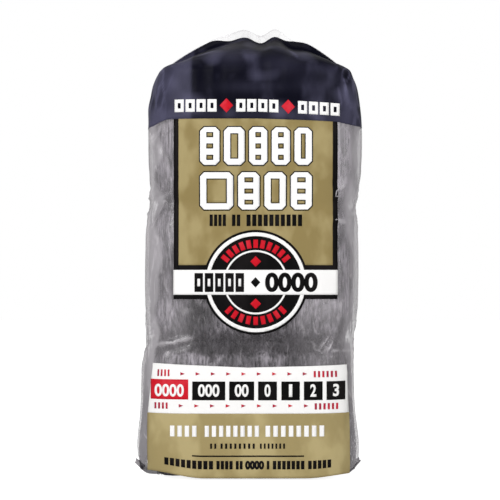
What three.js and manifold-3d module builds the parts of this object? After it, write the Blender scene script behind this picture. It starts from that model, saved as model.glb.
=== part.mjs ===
// A sealed pack of twelve steel wool hand pads in a printed bag of clear film.
// Units are millimetres. +Z is up, the printed front faces -Y, and the origin is under the middle
// of the pack, on the surface that it stands on.
//
// Each pad is a ribbon of wool rolled up flat, with its roll axis along X. The pads stand in three
// rows, four deep. The bag is one tube of film: its bottom seal is folded flat under the pack with
// the ends turned up at the corners, and its top end is drawn together into an upright fin.

import * as THREE from "three";
import Module from "manifold-3d";

const wasm = await Module();
wasm.setup();

// Pads
const PAD_WIDTH = 103;
const PAD_HEIGHT = 68.6;
const PAD_THICKNESS = 20;
const PAD_EDGE_SQUARENESS = 3.5; // of its outline along the roll axis; 2 would be an ellipse
const PAD_END_ROUNDING = { length: 8, height: 11, thickness: 2.5 }; // crushed corners
const PAD_RING_SHARE = 0.6; // of the way from a pad's middle to its end, where it has one more ring
const ROWS = 3;
const LAYERS = 4;
const PRESS_GAP = 0.4; // between pads that press on each other
const ROW_LEAN = 1.9; // each row lies this much further right than the row below
const LEAN_FROM = 0.25; // share of the way between two rows' middles where the lean starts
const LEAN_TO = 0.75;

// The roll of a pad
const LAP_STEP = 1.1; // the ribbon's loose end stands this far above the turn under it
const LAP_ANGLE = 2.5; // where the loose end lies, round the roll axis
const LAP_WIDTH = 0.09; // how much of the way round the step takes
const ROLL_HALF_TURNS = 5; // ridges and valleys between the rim and the core
const TURN_RIDGE = 1.6; // the edge of each turn stands this far out at the pad's ends
const FIRST_VALLEY = 0.4; // in half turns, from the rim in
const ROLL_SIDES = 14;

// Film bag
const FILM_WALL = 0.4;
const PAD_CLEARANCE = 0.7; // between the film and the pads that fill it
const SECTION_SQUARENESS = 4.5; // 2 would be an ellipse
const SECTION_SIDES = 36;
const CROWDING = 0.6; // of a section's points towards its corners; 1 would spread them evenly
const SIDE_EASE = 2.6; // how far the film stands off the pads' ends at the middle of a row
const SIDE_PINCH = 1.7; // how far it draws in at the sides between two rows
const FACE_PINCH = 2.2; // and at the front and back
const SWELL_FULLNESS = 0.6; // lower values keep the pinch closer to the joint of two rows
const BASE_SLACK = { width: 2.3, height: 0.17, spread: 0.25 }; // settled bottom row, in rows
const BASE_EDGE_RADIUS = 8;

// Top of the bag
const SHOULDER_DROP = 2; // the film leaves the pads this far below their top
const SHOULDER_ROUNDING = { height: 24, width: 5 }; // of the sides, up to the shoulder
const FIN_HALF_WIDTH = 49;
const FIN_END_RISE = 2.4; // the fin's ends above the top of the pads
const FIN_ARCH = 21.5; // the fin's middle above its ends
const FIN_WAVE = 2.6; // two humps along the fin
const FIN_WAVE_LENGTH = 19;
const FIN_WAVE_PEAK = 11.5; // the higher hump's distance from the fin's middle
const FIN_WAVE_MIDDLE = 8;
const FIN_WAVE_SPREAD = 14;
const FIN_MOUTH = 0.3; // between the two layers of film in the fin
const FIN_JOINT = 0.81; // share of the rise to the fin's edge at which the two layers meet
const FIN_SWAY = { height: 1.8, length: 41, from: 0.4 }; // how the fin winds to front and back
const GATHERS = { height: 2, length: 27, peak: 6 }; // soft upright folds below the fin
const GUSSET_TUCK = 3; // how far the side folds are pushed in under the fin
const GUSSET_WIDTH = 15;
const GUSSET_FROM = 0.2; // shares of the rise to the fin's edge
const GUSSET_TO = 0.9;
const GUSSET_ENDS = 0.8; // the fold lies outside this share of the fin's half width

// Bottom seal, folded flat under the pack
const SEAL_WIDTH = 26;
const SEAL_LIP = 0.4; // thickness that shows under the film
const SEAL_BITE = 0.2; // how deep the seal is fused with the film
const EAR_ANGLE = 0.7; // how far round the bottom edge the seal stays down
const EAR_LENGTH = 5.8;

// Print
const PRINT_LIFT = 0.3; // between the film and the printed fields
const PRINT_THICKNESS = 0.3;
const FIELD_GAP = 0.3; // between fields that meet
const HEADER_DROP = 26.6; // the header's lower line below the top of the pads
const HEADER_MARGIN = 3.2; // clear film left above the header
const PANEL = { x: 4, halfWidth: 41.1, height: 75.7 };
const PANEL_BORDER = 2.4;
const BANNER_HEIGHT = 12.4;
const RULE_HEIGHT = 2.1; // black rule under the banner
const BADGE = { radius: 26, ringOuter: 24.9, ringInner: 23 };
const BASE_BAND = { x: 0.4, halfWidth: 51, from: 3.2, height: 30.9 };
const SCALE = { x: 0.4, halfWidth: 50.2, height: 23.4 };

const COLOURS = {
  wool: { color: 0x8d8a8e, roughness: 0.6, metalness: 0.7 },
  film: { color: 0xdfe0e0, roughness: 0.25, metalness: 0, transparent: true, opacity: 0.35 },
  navy: { color: 0x20202e, roughness: 0.35, metalness: 0 },
  gold: { color: 0xa8986c, roughness: 0.4, metalness: 0 },
  black: { color: 0x221f20, roughness: 0.35, metalness: 0 },
  white: { color: 0xf4f3f1, roughness: 0.35, metalness: 0 },
};

// Sizes worked out from those above
const ROW_PITCH = PAD_HEIGHT + PRESS_GAP;
const LAYER_PITCH = PAD_THICKNESS + PRESS_GAP;
const STACK_HALF_DEPTH = (LAYERS * LAYER_PITCH - PRESS_GAP) / 2;
const STACK_BOTTOM = SEAL_LIP + FILM_WALL + PAD_CLEARANCE;
const STACK_TOP = STACK_BOTTOM + ROWS * ROW_PITCH - PRESS_GAP;
const SHOULDER = STACK_TOP - SHOULDER_DROP;
const FACE_EASE = PAD_CLEARANCE + FILM_WALL;
const HEADER_FROM = STACK_TOP - HEADER_DROP;
const BANNER_TO = HEADER_FROM - PANEL.height;
const BANNER_FROM = BANNER_TO - BANNER_HEIGHT;
const BADGE_Z = (BANNER_FROM + BANNER_TO) / 2;
const ROUND = 2 * Math.PI;

const solids = new THREE.Group();

function smooth(from, to, value) {
  return THREE.MathUtils.smoothstep(value, from, to);
}

function add(name, geometry, look) {
  const mesh = new THREE.Mesh(geometry, new THREE.MeshStandardMaterial(COLOURS[look]));
  mesh.name = name;
  solids.add(mesh);
  return mesh;
}

function geometryFrom(points, triangles) {
  const geometry = new THREE.BufferGeometry();
  geometry.setAttribute("position", new THREE.Float32BufferAttribute(points.flat(), 3));
  geometry.setIndex(triangles.flat());
  return geometry;
}

// manifold-3d joins and cuts closed meshes whose vertices are shared.
function toSolid(geometry) {
  return new wasm.Manifold(
    new wasm.Mesh({
      numProp: 3,
      vertProperties: Float32Array.from(geometry.getAttribute("position").array),
      triVerts: Uint32Array.from(geometry.index.array),
    }),
  );
}

function fromSolid(solid) {
  const mesh = solid.getMesh();
  const geometry = new THREE.BufferGeometry();
  geometry.setAttribute("position", new THREE.BufferAttribute(mesh.vertProperties, 3));
  geometry.setIndex(new THREE.BufferAttribute(mesh.triVerts, 1));
  return geometry;
}

// A point on a rounded rectangular section, crowded towards the corners.
function sectionPoint(angle, halfWidth, halfDepth, squareness) {
  const across = Math.sign(Math.cos(angle)) * Math.abs(Math.cos(angle)) ** CROWDING;
  const along = Math.sign(Math.sin(angle)) * Math.abs(Math.sin(angle)) ** CROWDING;
  const reach =
    (Math.abs(across) ** squareness + Math.abs(along) ** squareness) ** (-1 / squareness);
  return [halfWidth * across * reach, halfDepth * along * reach];
}

// How far the rows have stepped sideways at a height: level within a row, smooth between rows.
function leanAt(z) {
  const place = (z - STACK_BOTTOM) / ROW_PITCH - 0.5;
  const row = THREE.MathUtils.clamp(Math.floor(place), 0, ROWS - 2);
  return ROW_LEAN * (row + smooth(LEAN_FROM, LEAN_TO, place - row));
}

// 1 at the middle of a row and 0 where two rows meet. The bag's two ends are not pinched.
function swellAt(z) {
  const place = (z - STACK_BOTTOM) / ROW_PITCH;
  if (place < 0.5 || place > ROWS - 0.5) return 1;
  return Math.sin(Math.PI * (place - Math.floor(place))) ** SWELL_FULLNESS;
}

// The bag's outer section at a height between the bottom edge and the shoulder.
function bagSection(z) {
  const pinch = 1 - swellAt(z);
  const settled = (z - STACK_BOTTOM) / ROW_PITCH;
  const slack =
    BASE_SLACK.width * Math.exp(-(((settled - BASE_SLACK.height) / BASE_SLACK.spread) ** 2));
  const rounded = Math.max(1 - (SHOULDER - z) / SHOULDER_ROUNDING.height, 0) ** 2;
  const ease = SIDE_EASE + slack - SHOULDER_ROUNDING.width * rounded;
  return {
    halfWidth: PAD_WIDTH / 2 + FACE_EASE + ease - SIDE_PINCH * pinch,
    halfDepth: STACK_HALF_DEPTH + FACE_EASE - FACE_PINCH * pinch,
    centre: leanAt(z),
  };
}

// The upper edge of the fin, at a distance from the fin's middle.
function finTop(across) {
  const share = across / FIN_HALF_WIDTH;
  const hump = Math.cos((ROUND * (across - FIN_WAVE_PEAK)) / FIN_WAVE_LENGTH);
  const fade = Math.exp(-(((across - FIN_WAVE_MIDDLE) / FIN_WAVE_SPREAD) ** 2));
  return STACK_TOP + FIN_END_RISE + FIN_ARCH * (1 - share * share) + FIN_WAVE * hump * fade;
}

// The way up from the shoulder to the fin's edge: [share of the depth left, share of the rise].
const ROOF_PATH = [
  [1, 0],
  [0.975, 0.14],
  [0.9, 0.3],
  [0.74, 0.45],
  [0.5, 0.57],
  [0.26, 0.67],
  [0.09, 0.75],
  [0, FIN_JOINT],
  [0, 1 - HEADER_MARGIN / (finTop(0) - SHOULDER)],
  [0, 1],
];

// Places along the bag, from the rim of its flat base up to the fin's edge. Each gives a ring.
const BAG_PLACES = [];
for (const turn of [0, 0.3, 0.62, 1]) BAG_PLACES.push({ part: "edge", turn });
for (let row = 0; row < ROWS; row++)
  for (const share of [0, 0.13, 0.37, 0.63, 0.87]) {
    const z = STACK_BOTTOM + (row + share) * ROW_PITCH - PRESS_GAP / 2;
    if (z > SEAL_LIP + BASE_EDGE_RADIUS && z < SHOULDER) BAG_PLACES.push({ part: "wall", z });
  }
BAG_PLACES.push({ part: "wall", z: HEADER_FROM });
BAG_PLACES.sort((a, b) => (a.z ?? 0) - (b.z ?? 0));
const HEADER_FIRST = BAG_PLACES.findIndex((place) => place.z === HEADER_FROM);
for (const [depth, rise] of ROOF_PATH) BAG_PLACES.push({ part: "roof", depth, rise });
const HEADER_LAST = BAG_PLACES.length - 2;

// The outer surface of the bag, as rings of points, and the direction that it faces at each.
const BAG_RINGS = BAG_PLACES.map(bagRing);
const BAG_NORMALS = BAG_RINGS.map((ring, index) => {
  const below = BAG_RINGS[Math.max(index - 1, 0)];
  const above = BAG_RINGS[Math.min(index + 1, BAG_RINGS.length - 1)];
  return ring.map((_, side) => {
    const next = ring[(side + 1) % SECTION_SIDES];
    const last = ring[(side + SECTION_SIDES - 1) % SECTION_SIDES];
    const around = next.clone().sub(last);
    const along = above[side].clone().sub(below[side]);
    return around.cross(along).normalize();
  });
});
for (const normal of BAG_NORMALS[0]) normal.set(0, 0, -1);

function bagRing(place) {
  const ring = [];
  for (let side = 0; side < SECTION_SIDES; side++) {
    const angle = (ROUND * side) / SECTION_SIDES;
    if (place.part === "edge") ring.push(edgePoint(angle, place.turn));
    if (place.part === "wall") ring.push(wallPoint(angle, place.z, 0));
    if (place.part === "roof") ring.push(roofPoint(angle, place.depth, place.rise));
  }
  return ring;
}

// The rings of the bag, moved outwards, or inwards where the distance is negative.
function movedRings(distance, first = 0, last = BAG_RINGS.length - 1) {
  const moved = [];
  for (let index = first; index <= last; index++)
    moved.push(
      BAG_RINGS[index].map((point, side) =>
        point.clone().addScaledVector(BAG_NORMALS[index][side], distance).toArray(),
      ),
    );
  return moved;
}

function edgePoint(angle, turn) {
  const bend = (turn * Math.PI) / 2;
  const z = SEAL_LIP + BASE_EDGE_RADIUS * (1 - Math.cos(bend));
  return wallPoint(angle, z, BASE_EDGE_RADIUS * (1 - Math.sin(bend)));
}

function wallPoint(angle, z, drawnIn) {
  const section = bagSection(z);
  const [x, y] = sectionPoint(
    angle,
    section.halfWidth - drawnIn,
    section.halfDepth - drawnIn,
    SECTION_SQUARENESS,
  );
  return new THREE.Vector3(section.centre + x, y, z);
}

function roofPoint(angle, depth, rise) {
  const section = bagSection(SHOULDER);
  const finHalfDepth = FIN_MOUTH / 2 + FILM_WALL;
  const halfWidth = THREE.MathUtils.lerp(section.halfWidth, FIN_HALF_WIDTH, rise);
  const halfDepth = THREE.MathUtils.lerp(finHalfDepth, section.halfDepth, depth);
  const [across, y] = sectionPoint(angle, halfWidth, halfDepth, SECTION_SQUARENESS);
  const folded = THREE.MathUtils.clamp((rise - GUSSET_FROM) / (GUSSET_TO - GUSSET_FROM), 0, 1);
  const tuck = Math.sin(Math.PI * folded) ** 2;
  const atEnds = smooth(GUSSET_ENDS, 1, Math.abs(across) / FIN_HALF_WIDTH);
  const fold = GUSSET_TUCK * tuck * atEnds * Math.exp(-((y / GUSSET_WIDTH) ** 2));
  const x = section.centre + across - Math.sign(across) * fold;
  const z = THREE.MathUtils.lerp(SHOULDER, finTop(across), rise);
  return new THREE.Vector3(x, y * gathered(across, halfDepth, rise) + swayAt(across, rise), z);
}

// How much deeper the soft folds make the roof.
function gathered(across, halfDepth, rise) {
  const ridge = (1 + Math.cos((ROUND * (across - GATHERS.peak)) / GATHERS.length)) / 2;
  const open = Math.sin(Math.PI * Math.min(rise / FIN_JOINT, 1)) ** 2;
  return 1 + (GATHERS.height * ridge * open) / halfDepth;
}

// How far the fin winds to the back. It starts on the way up from the shoulder.
function swayAt(across, rise) {
  const wave = Math.sin((ROUND * across) / FIN_SWAY.length);
  return FIN_SWAY.height * wave * smooth(FIN_SWAY.from, FIN_JOINT, rise);
}

// Side faces between rings that all have the same number of points. Rings run anticlockwise as
// seen from the far end, so the faces point outwards.
function bands(ringCount, sides, first = 0) {
  const faces = [];
  for (let ring = 0; ring < ringCount - 1; ring++)
    for (let side = 0; side < sides; side++) {
      const next = (side + 1) % sides;
      const low = first + ring * sides;
      const high = low + sides;
      faces.push([low + side, low + next, high + next], [low + side, high + next, high + side]);
    }
  return faces;
}

const flipped = (faces) => faces.map(([a, b, c]) => [a, c, b]);

// A wall between outer and inner rings. The far end is open, and the near end is open or closed
// by a flat floor.
function shell(outer, inner, floor) {
  const sides = outer[0].length;
  const innerFirst = outer.length * sides;
  const points = [...outer.flat(), ...inner.flat()];
  const faces = [
    ...bands(outer.length, sides),
    ...flipped(bands(inner.length, sides, innerFirst)),
  ];
  const outerLast = innerFirst - sides;
  const innerLast = points.length - sides;
  if (floor) points.push(floor.outer, floor.inner);
  for (let side = 0; side < sides; side++) {
    const next = (side + 1) % sides;
    faces.push([outerLast + side, outerLast + next, innerLast + next]);
    faces.push([outerLast + side, innerLast + next, innerLast + side]);
    if (floor) {
      faces.push([points.length - 2, next, side]);
      faces.push([points.length - 1, innerFirst + side, innerFirst + next]);
    } else {
      faces.push([side, innerFirst + side, innerFirst + next]);
      faces.push([side, innerFirst + next, next]);
    }
  }
  return geometryFrom(points, faces);
}

// The strip of doubled film under the pack. Its ends leave the bottom edge as two ears.
function bottomSeal() {
  const { halfWidth } = bagSection(SEAL_LIP + BASE_EDGE_RADIUS);
  const bendAt = halfWidth - BASE_EDGE_RADIUS;
  const under = [];
  const over = [];
  const steps = 4;
  const thickness = SEAL_LIP + SEAL_BITE;
  const rows = [
    [under, BASE_EDGE_RADIUS + SEAL_LIP],
    [over, BASE_EDGE_RADIUS + SEAL_LIP - thickness],
  ];
  for (const [line, radius] of rows) {
    for (let step = 0; step <= steps; step++) {
      const bend = (EAR_ANGLE * step) / steps;
      line.push([
        bendAt + radius * Math.sin(bend),
        SEAL_LIP + BASE_EDGE_RADIUS - radius * Math.cos(bend),
      ]);
    }
    const [x, z] = line.at(-1);
    line.push([x + EAR_LENGTH * Math.cos(EAR_ANGLE), z + EAR_LENGTH * Math.sin(EAR_ANGLE)]);
  }
  const mirrored = (line) => line.map(([x, z]) => [-x, z]).reverse();
  const outline = [...mirrored(under), ...under, ...over.reverse(), ...mirrored(over)];
  const shape = new THREE.Shape(outline.map(([x, z]) => new THREE.Vector2(x, z)));
  const strip = new THREE.ExtrudeGeometry(shape, { depth: SEAL_WIDTH, bevelEnabled: false });
  strip.rotateX(Math.PI / 2);
  strip.translate(leanAt(SEAL_LIP), SEAL_WIDTH / 2, 0);
  return merged(strip);
}

// The same geometry with its positions shared, which joining and cutting need.
function merged(geometry) {
  const source = geometry.index ? geometry.toNonIndexed() : geometry;
  const position = source.getAttribute("position");
  const seen = new Map();
  const points = [];
  const corners = [];
  for (let i = 0; i < position.count; i++) {
    const point = [position.getX(i), position.getY(i), position.getZ(i)];
    const key = point.map((value) => value.toFixed(4)).join();
    if (!seen.has(key)) seen.set(key, points.push(point) - 1);
    corners.push(seen.get(key));
  }
  const faces = [];
  for (let i = 0; i < corners.length; i += 3) faces.push(corners.slice(i, i + 3));
  return geometryFrom(points, faces);
}

function filmBag() {
  const floor = {
    outer: [leanAt(SEAL_LIP), 0, SEAL_LIP],
    inner: [leanAt(SEAL_LIP), 0, SEAL_LIP + FILM_WALL],
  };
  const bag = toSolid(shell(movedRings(0), movedRings(-FILM_WALL), floor));
  return fromSolid(bag.add(toSolid(bottomSeal())));
}

// How much of its depth the stack keeps at a distance from its middle. It rounds the corners as
// the bag does.
function packedDepth(across) {
  const limit = PAD_WIDTH / 2 + SIDE_EASE - SIDE_PINCH / 2;
  return (1 - (Math.abs(across) / limit) ** SECTION_SQUARENESS) ** (1 / SECTION_SQUARENESS);
}

// Moves values evenly so that they run from -half to half.
function fitted(values, half) {
  const low = Math.min(...values);
  const high = Math.max(...values);
  return values.map((value) => THREE.MathUtils.mapLinear(value, low, high, -half, half));
}

// The outline of a rolled pad, as seen along the roll axis. The outer turn sinks from its loose
// end on, so the outline has one step.
function rollOutline() {
  const outline = [];
  for (let side = 0; side < ROLL_SIDES; side++) {
    const share = side / (ROLL_SIDES - 1);
    const angle = LAP_ANGLE + ROUND * (1 - LAP_WIDTH) * share;
    const sunk = LAP_STEP * share;
    const halfThickness = PAD_THICKNESS / 2 - sunk;
    const halfHeight = PAD_HEIGHT / 2 - sunk;
    outline.push(sectionPoint(angle, halfThickness, halfHeight, PAD_EDGE_SQUARENESS));
  }
  const ys = fitted(outline.map(([y]) => y), PAD_THICKNESS / 2);
  const zs = fitted(outline.map(([, z]) => z), PAD_HEIGHT / 2);
  return ys.map((y, side) => [y, zs[side]]);
}

// One rolled pad about its own middle: the round edge at each end, and between the two rims the
// outer turn. From each rim the end follows the roll in to its core, with a valley and the ridge
// of the ribbon's edge to each turn.
function rolledPad() {
  const points = [];
  const outline = rollOutline();
  const drawnIn = (share) =>
    outline.map(([y, z]) => [
      y * (1 - (2 * share * PAD_END_ROUNDING.thickness) / PAD_THICKNESS),
      z * (1 - (2 * share * PAD_END_ROUNDING.height) / PAD_HEIGHT),
    ]);
  const rightRings = [];
  for (const bend of [0.2, 0.6, 1]) {
    const turn = (bend * Math.PI) / 2;
    const back = PAD_END_ROUNDING.length * (1 - Math.cos(turn));
    rightRings.push({ x: PAD_WIDTH / 2 - TURN_RIDGE - back, share: 1 - Math.sin(turn) });
  }
  rightRings.push({ x: (PAD_RING_SHARE * PAD_WIDTH) / 2, share: 0 });
  const rings = [
    ...rightRings.map(({ x, share }) => ({ x: -x, share })),
    { x: 0, share: 0 },
    ...rightRings.toReversed(),
  ];
  for (const { x, share } of rings) for (const [y, z] of drawnIn(share)) points.push([x, y, z]);
  const faces = bands(rings.length, ROLL_SIDES);
  const rim = drawnIn(rings[0].share);
  for (const end of [-1, 1]) {
    const rimFirst = end < 0 ? 0 : (rings.length - 1) * ROLL_SIDES;
    const cap = rollEnd(end, rim, rimFirst, points);
    faces.push(...(end > 0 ? cap : flipped(cap)));
  }
  return { points, faces };
}

// One end of the roll. Adds its points and returns its faces. Each row of points lies half a turn
// of the ribbon further in, and runs on into the row two further in where it comes full circle.
function rollEnd(end, rim, rimFirst, points) {
  const first = points.length;
  const rows = ROLL_HALF_TURNS;
  const valley = PAD_WIDTH / 2 - TURN_RIDGE;
  for (let row = 0; row < rows; row++)
    for (let side = 0; side < ROLL_SIDES; side++) {
      const inward = (row + FIRST_VALLEY + (2 * side) / ROLL_SIDES) / (rows + 2);
      const x = row % 2 ? PAD_WIDTH / 2 : valley;
      points.push([end * x, rim[side][0] * (1 - inward), rim[side][1] * (1 - inward)]);
    }
  const core = points.push([end * valley, 0, 0]) - 1;
  const at = (row, side) => (row < rows ? first + row * ROLL_SIDES + side : core);
  const cap = [];
  for (let side = 0; side < ROLL_SIDES; side++) {
    const next = (side + 1) % ROLL_SIDES;
    const skip = next ? 0 : 2;
    for (let row = 0; row <= skip; row++) {
      const corner = row ? at(row - 1, next) : rimFirst + next;
      cap.push([rimFirst + side, corner, at(row, next)]);
    }
    cap.push([rimFirst + side, at(skip, next), at(0, side)]);
    for (let row = 0; row < rows; row++) {
      cap.push([at(row, side), at(row + skip, next), at(row + 1 + skip, next)]);
      cap.push([at(row, side), at(row + 1 + skip, next), at(row + 1, side)]);
    }
  }
  return cap.filter(([a, b, c]) => a !== b && b !== c && c !== a);
}

function addPads() {
  const roll = rolledPad();
  const layerNames = ["front", "second", "third", "back"];
  const rowNames = ["bottom", "middle", "top"];
  for (let row = 0; row < ROWS; row++)
    for (let layer = 0; layer < LAYERS; layer++) {
      const turned = (row + layer) % 2 ? -1 : 1; // every other pad lies the other way up
      const centreY = (layer - (LAYERS - 1) / 2) * LAYER_PITCH;
      const centreZ = STACK_BOTTOM + row * ROW_PITCH + PAD_HEIGHT / 2;
      const points = roll.points.map(([x, y, z]) => [
        x + ROW_LEAN * row,
        (centreY + turned * y) * packedDepth(x),
        centreZ + turned * z,
      ]);
      const rowName = rowNames[row] ?? `row_${row + 1}`;
      const layerName = layerNames[layer] ?? `layer_${layer + 1}`;
      add(`pad_${rowName}_${layerName}`, geometryFrom(points, roll.faces), "wool");
    }
}

// A thin skin that follows the film at a small distance, between two rings of the bag.
function skin(first, last) {
  const outer = movedRings(PRINT_LIFT + PRINT_THICKNESS, first, last);
  const inner = movedRings(PRINT_LIFT, first, last);
  return shell(outer, inner);
}

// A bar that runs from front to back, with the outline of a field.
function fieldBar(shape) {
  const reach = STACK_HALF_DEPTH * 2;
  const bar = new THREE.ExtrudeGeometry(shape, {
    depth: reach,
    bevelEnabled: false,
    curveSegments: 16,
  });
  bar.rotateX(Math.PI / 2);
  return toSolid(merged(bar));
}

function rectangle(x, halfWidth, from, to) {
  const shape = new THREE.Shape();
  shape.moveTo(x - halfWidth, from);
  shape.lineTo(x + halfWidth, from);
  shape.lineTo(x + halfWidth, to);
  shape.lineTo(x - halfWidth, to);
  shape.closePath();
  return fieldBar(shape);
}

function disc(radius) {
  const shape = new THREE.Shape();
  shape.absarc(PANEL.x, BADGE_Z, radius, 0, ROUND);
  return fieldBar(shape);
}

function addFrontPrint() {
  const { x, halfWidth } = PANEL;
  const panelTo = HEADER_FROM - FIELD_GAP;
  const goldFrom = BANNER_TO + PANEL_BORDER;
  const goldHalf = halfWidth - PANEL_BORDER;
  const gold = rectangle(x, goldHalf, goldFrom, panelTo);
  const goldRoom = rectangle(x, goldHalf + FIELD_GAP, goldFrom - FIELD_GAP, HEADER_FROM);
  const banner = rectangle(x, halfWidth, BANNER_FROM, BANNER_TO);
  const bannerRoom = rectangle(
    x,
    halfWidth + FIELD_GAP,
    BANNER_FROM - FIELD_GAP,
    BANNER_TO + FIELD_GAP,
  );
  const badgeRoom = disc(BADGE.radius + FIELD_GAP);
  const ring = disc(BADGE.ringOuter).subtract(disc(BADGE.ringInner));
  const ringRoom = disc(BADGE.ringOuter + FIELD_GAP).subtract(disc(BADGE.ringInner - FIELD_GAP));
  const badge = disc(BADGE.radius).subtract(ringRoom);
  const frame = rectangle(x, halfWidth, BANNER_TO + FIELD_GAP, panelTo).subtract(goldRoom);
  const rule = rectangle(x, halfWidth, BANNER_FROM - RULE_HEIGHT, BANNER_FROM - FIELD_GAP);
  const scaleFrom = BASE_BAND.from + BASE_BAND.height + FIELD_GAP;
  const scale = rectangle(SCALE.x, SCALE.halfWidth, scaleFrom, scaleFrom + SCALE.height);
  const band = rectangle(
    BASE_BAND.x,
    BASE_BAND.halfWidth,
    BASE_BAND.from,
    BASE_BAND.from + BASE_BAND.height,
  );
  const front = toSolid(skin(1, HEADER_FIRST));
  const fields = [
    ["print_panel", gold.subtract(badgeRoom), "gold"],
    ["print_banner", banner, "white"],
    ["print_scale", scale, "white"],
    ["print_base_band", band, "gold"],
    ["print_border", frame.add(rule).subtract(badgeRoom), "black"],
    ["print_badge", badge.subtract(bannerRoom), "black"],
    ["print_badge_ring", ring.subtract(bannerRoom), "white"],
  ];
  for (const [name, bar, look] of fields) addField(name, front.intersect(bar), look);
}

// Where the banner or the badge cuts a field in parts, each part is a node of its own. They are
// counted from the lowest up, and from left to right.
function addField(name, solid, look) {
  const place = (piece, axis) => piece.boundingBox().min[axis] + piece.boundingBox().max[axis];
  const further = (a, b, axis) => place(a, axis) - place(b, axis);
  const pieces = solid.decompose();
  pieces.sort((a, b) => Math.round(further(a, b, 2)) || further(a, b, 0));
  pieces.forEach((piece, index) => {
    const pieceName = pieces.length > 1 ? `${name}_${index + 1}` : name;
    add(pieceName, fromSolid(piece), look);
  });
}

add("film_bag", filmBag(), "film");
addPads();
add("print_header", skin(HEADER_FIRST, HEADER_LAST), "navy");
addFrontPrint();

// The origin goes under the middle of the whole pack.
const middle = new THREE.Box3().setFromObject(solids).getCenter(new THREE.Vector3());
solids.position.set(-middle.x, -middle.y, 0);

const pack = new THREE.Group();
pack.name = "steel_wool_pack";
pack.add(solids);

export default pack;
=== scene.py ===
"""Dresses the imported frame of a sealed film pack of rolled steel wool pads.

Everything is in metres in the frame of the solids: +Z is up and the printed front faces -Y.
"""

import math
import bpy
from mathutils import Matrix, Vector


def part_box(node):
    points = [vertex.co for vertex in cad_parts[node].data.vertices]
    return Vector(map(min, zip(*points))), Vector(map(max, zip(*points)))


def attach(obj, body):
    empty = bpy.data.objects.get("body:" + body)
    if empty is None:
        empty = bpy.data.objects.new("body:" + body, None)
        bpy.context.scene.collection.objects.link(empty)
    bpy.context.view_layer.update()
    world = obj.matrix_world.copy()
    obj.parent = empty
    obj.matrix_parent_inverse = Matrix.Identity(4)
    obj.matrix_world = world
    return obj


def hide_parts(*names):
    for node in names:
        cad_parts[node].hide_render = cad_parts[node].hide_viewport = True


bl_info = {
    "name": "Steel Wool Pack",
    "version": (1, 0, 0),
    "blender": (4, 5, 0),
    "location": "3D View > Sidebar > Steel Wool Pack",
    "description": "Film bag, rolled steel wool pads and plain print around the packed frame",
    "category": "Object",
}

import bmesh
import bpy
import numpy as np
from bpy.props import FloatProperty, FloatVectorProperty, IntProperty, PointerProperty
from mathutils import Vector, noise

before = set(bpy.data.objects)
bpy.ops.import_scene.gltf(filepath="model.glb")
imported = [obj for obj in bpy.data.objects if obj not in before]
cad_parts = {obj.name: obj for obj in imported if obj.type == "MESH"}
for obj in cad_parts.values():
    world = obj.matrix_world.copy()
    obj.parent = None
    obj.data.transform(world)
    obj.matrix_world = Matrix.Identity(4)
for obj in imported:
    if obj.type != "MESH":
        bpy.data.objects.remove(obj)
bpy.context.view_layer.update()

MM = 0.001
ROUND = 2 * math.pi
BODY = "root"

# Sizes taken from the frame
ROWS = ("bottom", "middle", "top")
LAYERS = ("front", "second", "third", "back")
PAD_LOW, PAD_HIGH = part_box("pad_bottom_front")
PAD_WIDTH = PAD_HIGH.x - PAD_LOW.x
PAD_HEIGHT = PAD_HIGH.z - PAD_LOW.z
SECOND_LOW, SECOND_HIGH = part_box("pad_bottom_second")
PAD_THICKNESS = SECOND_HIGH.y - SECOND_LOW.y
STACK_HALF_DEPTH = -PAD_LOW.y
LAYER_PITCH = (2 * STACK_HALF_DEPTH - PAD_THICKNESS) / (len(LAYERS) - 1)
ROW_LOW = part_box("pad_middle_front")[0]
ROW_PITCH = ROW_LOW.z - PAD_LOW.z
ROW_LEAN = ROW_LOW.x - PAD_LOW.x
ROW_CENTRE = (PAD_LOW.x + PAD_HIGH.x) / 2
STACK_BOTTOM = PAD_LOW.z
STACK_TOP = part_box("pad_top_front")[1].z
HEADER_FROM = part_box("print_header")[0].z
BANNER_LOW, BANNER_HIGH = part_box("print_banner")
BAND_LOW, BAND_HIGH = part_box("print_base_band")
LABEL_X = (BANNER_LOW.x + BANNER_HIGH.x) / 2
BADGE_Z = (BANNER_LOW.z + BANNER_HIGH.z) / 2

# Roll of a pad, as in the solids
PAD_SQUARENESS = 3.5
PAD_END_LENGTH = 8 * MM
PAD_END_HEIGHT = 11 * MM
PAD_END_THICKNESS = 2.5 * MM
LAP_STEP = 1.1 * MM
LAP_ANGLE = 2.5
LAP_WIDTH = 0.09
TURN_RIDGE = 1.6 * MM
ROLL_TURNS = 3.5
ROLL_SIDES = 14
FIRST_VALLEY = 0.2  # in turns, from the rim in
CROWDING = 0.6

# Form of the bag, as in the solids
PAD_CLEARANCE = 0.7 * MM
FILM_WALL = 0.4 * MM
FACE_EASE = PAD_CLEARANCE + FILM_WALL
BAG_SQUARENESS = 4.5
SIDE_EASE = 2.6 * MM
SIDE_PINCH = 1.7 * MM
FACE_PINCH = 2.2 * MM
SWELL_FULLNESS = 0.6
SLACK_WIDTH = 2.3 * MM
SLACK_HEIGHT = 0.17
SLACK_SPREAD = 0.25
LEAN_FROM = 0.25
LEAN_TO = 0.75
BASE_EDGE_RADIUS = 8 * MM
SEAL_LIP = 0.4 * MM
SHOULDER = STACK_TOP - 2 * MM
SHOULDER_HEIGHT = 24 * MM
SHOULDER_WIDTH = 5 * MM
FIN_HALF_WIDTH = 49 * MM
FIN_HALF_DEPTH = 0.55 * MM
FIN_END = STACK_TOP + 2.4 * MM
FIN_ARCH = 21.5 * MM
FIN_WAVE = 2.6 * MM
FIN_WAVE_LENGTH = 19 * MM
FIN_WAVE_PEAK = 11.5 * MM
FIN_WAVE_MIDDLE = 8 * MM
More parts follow.
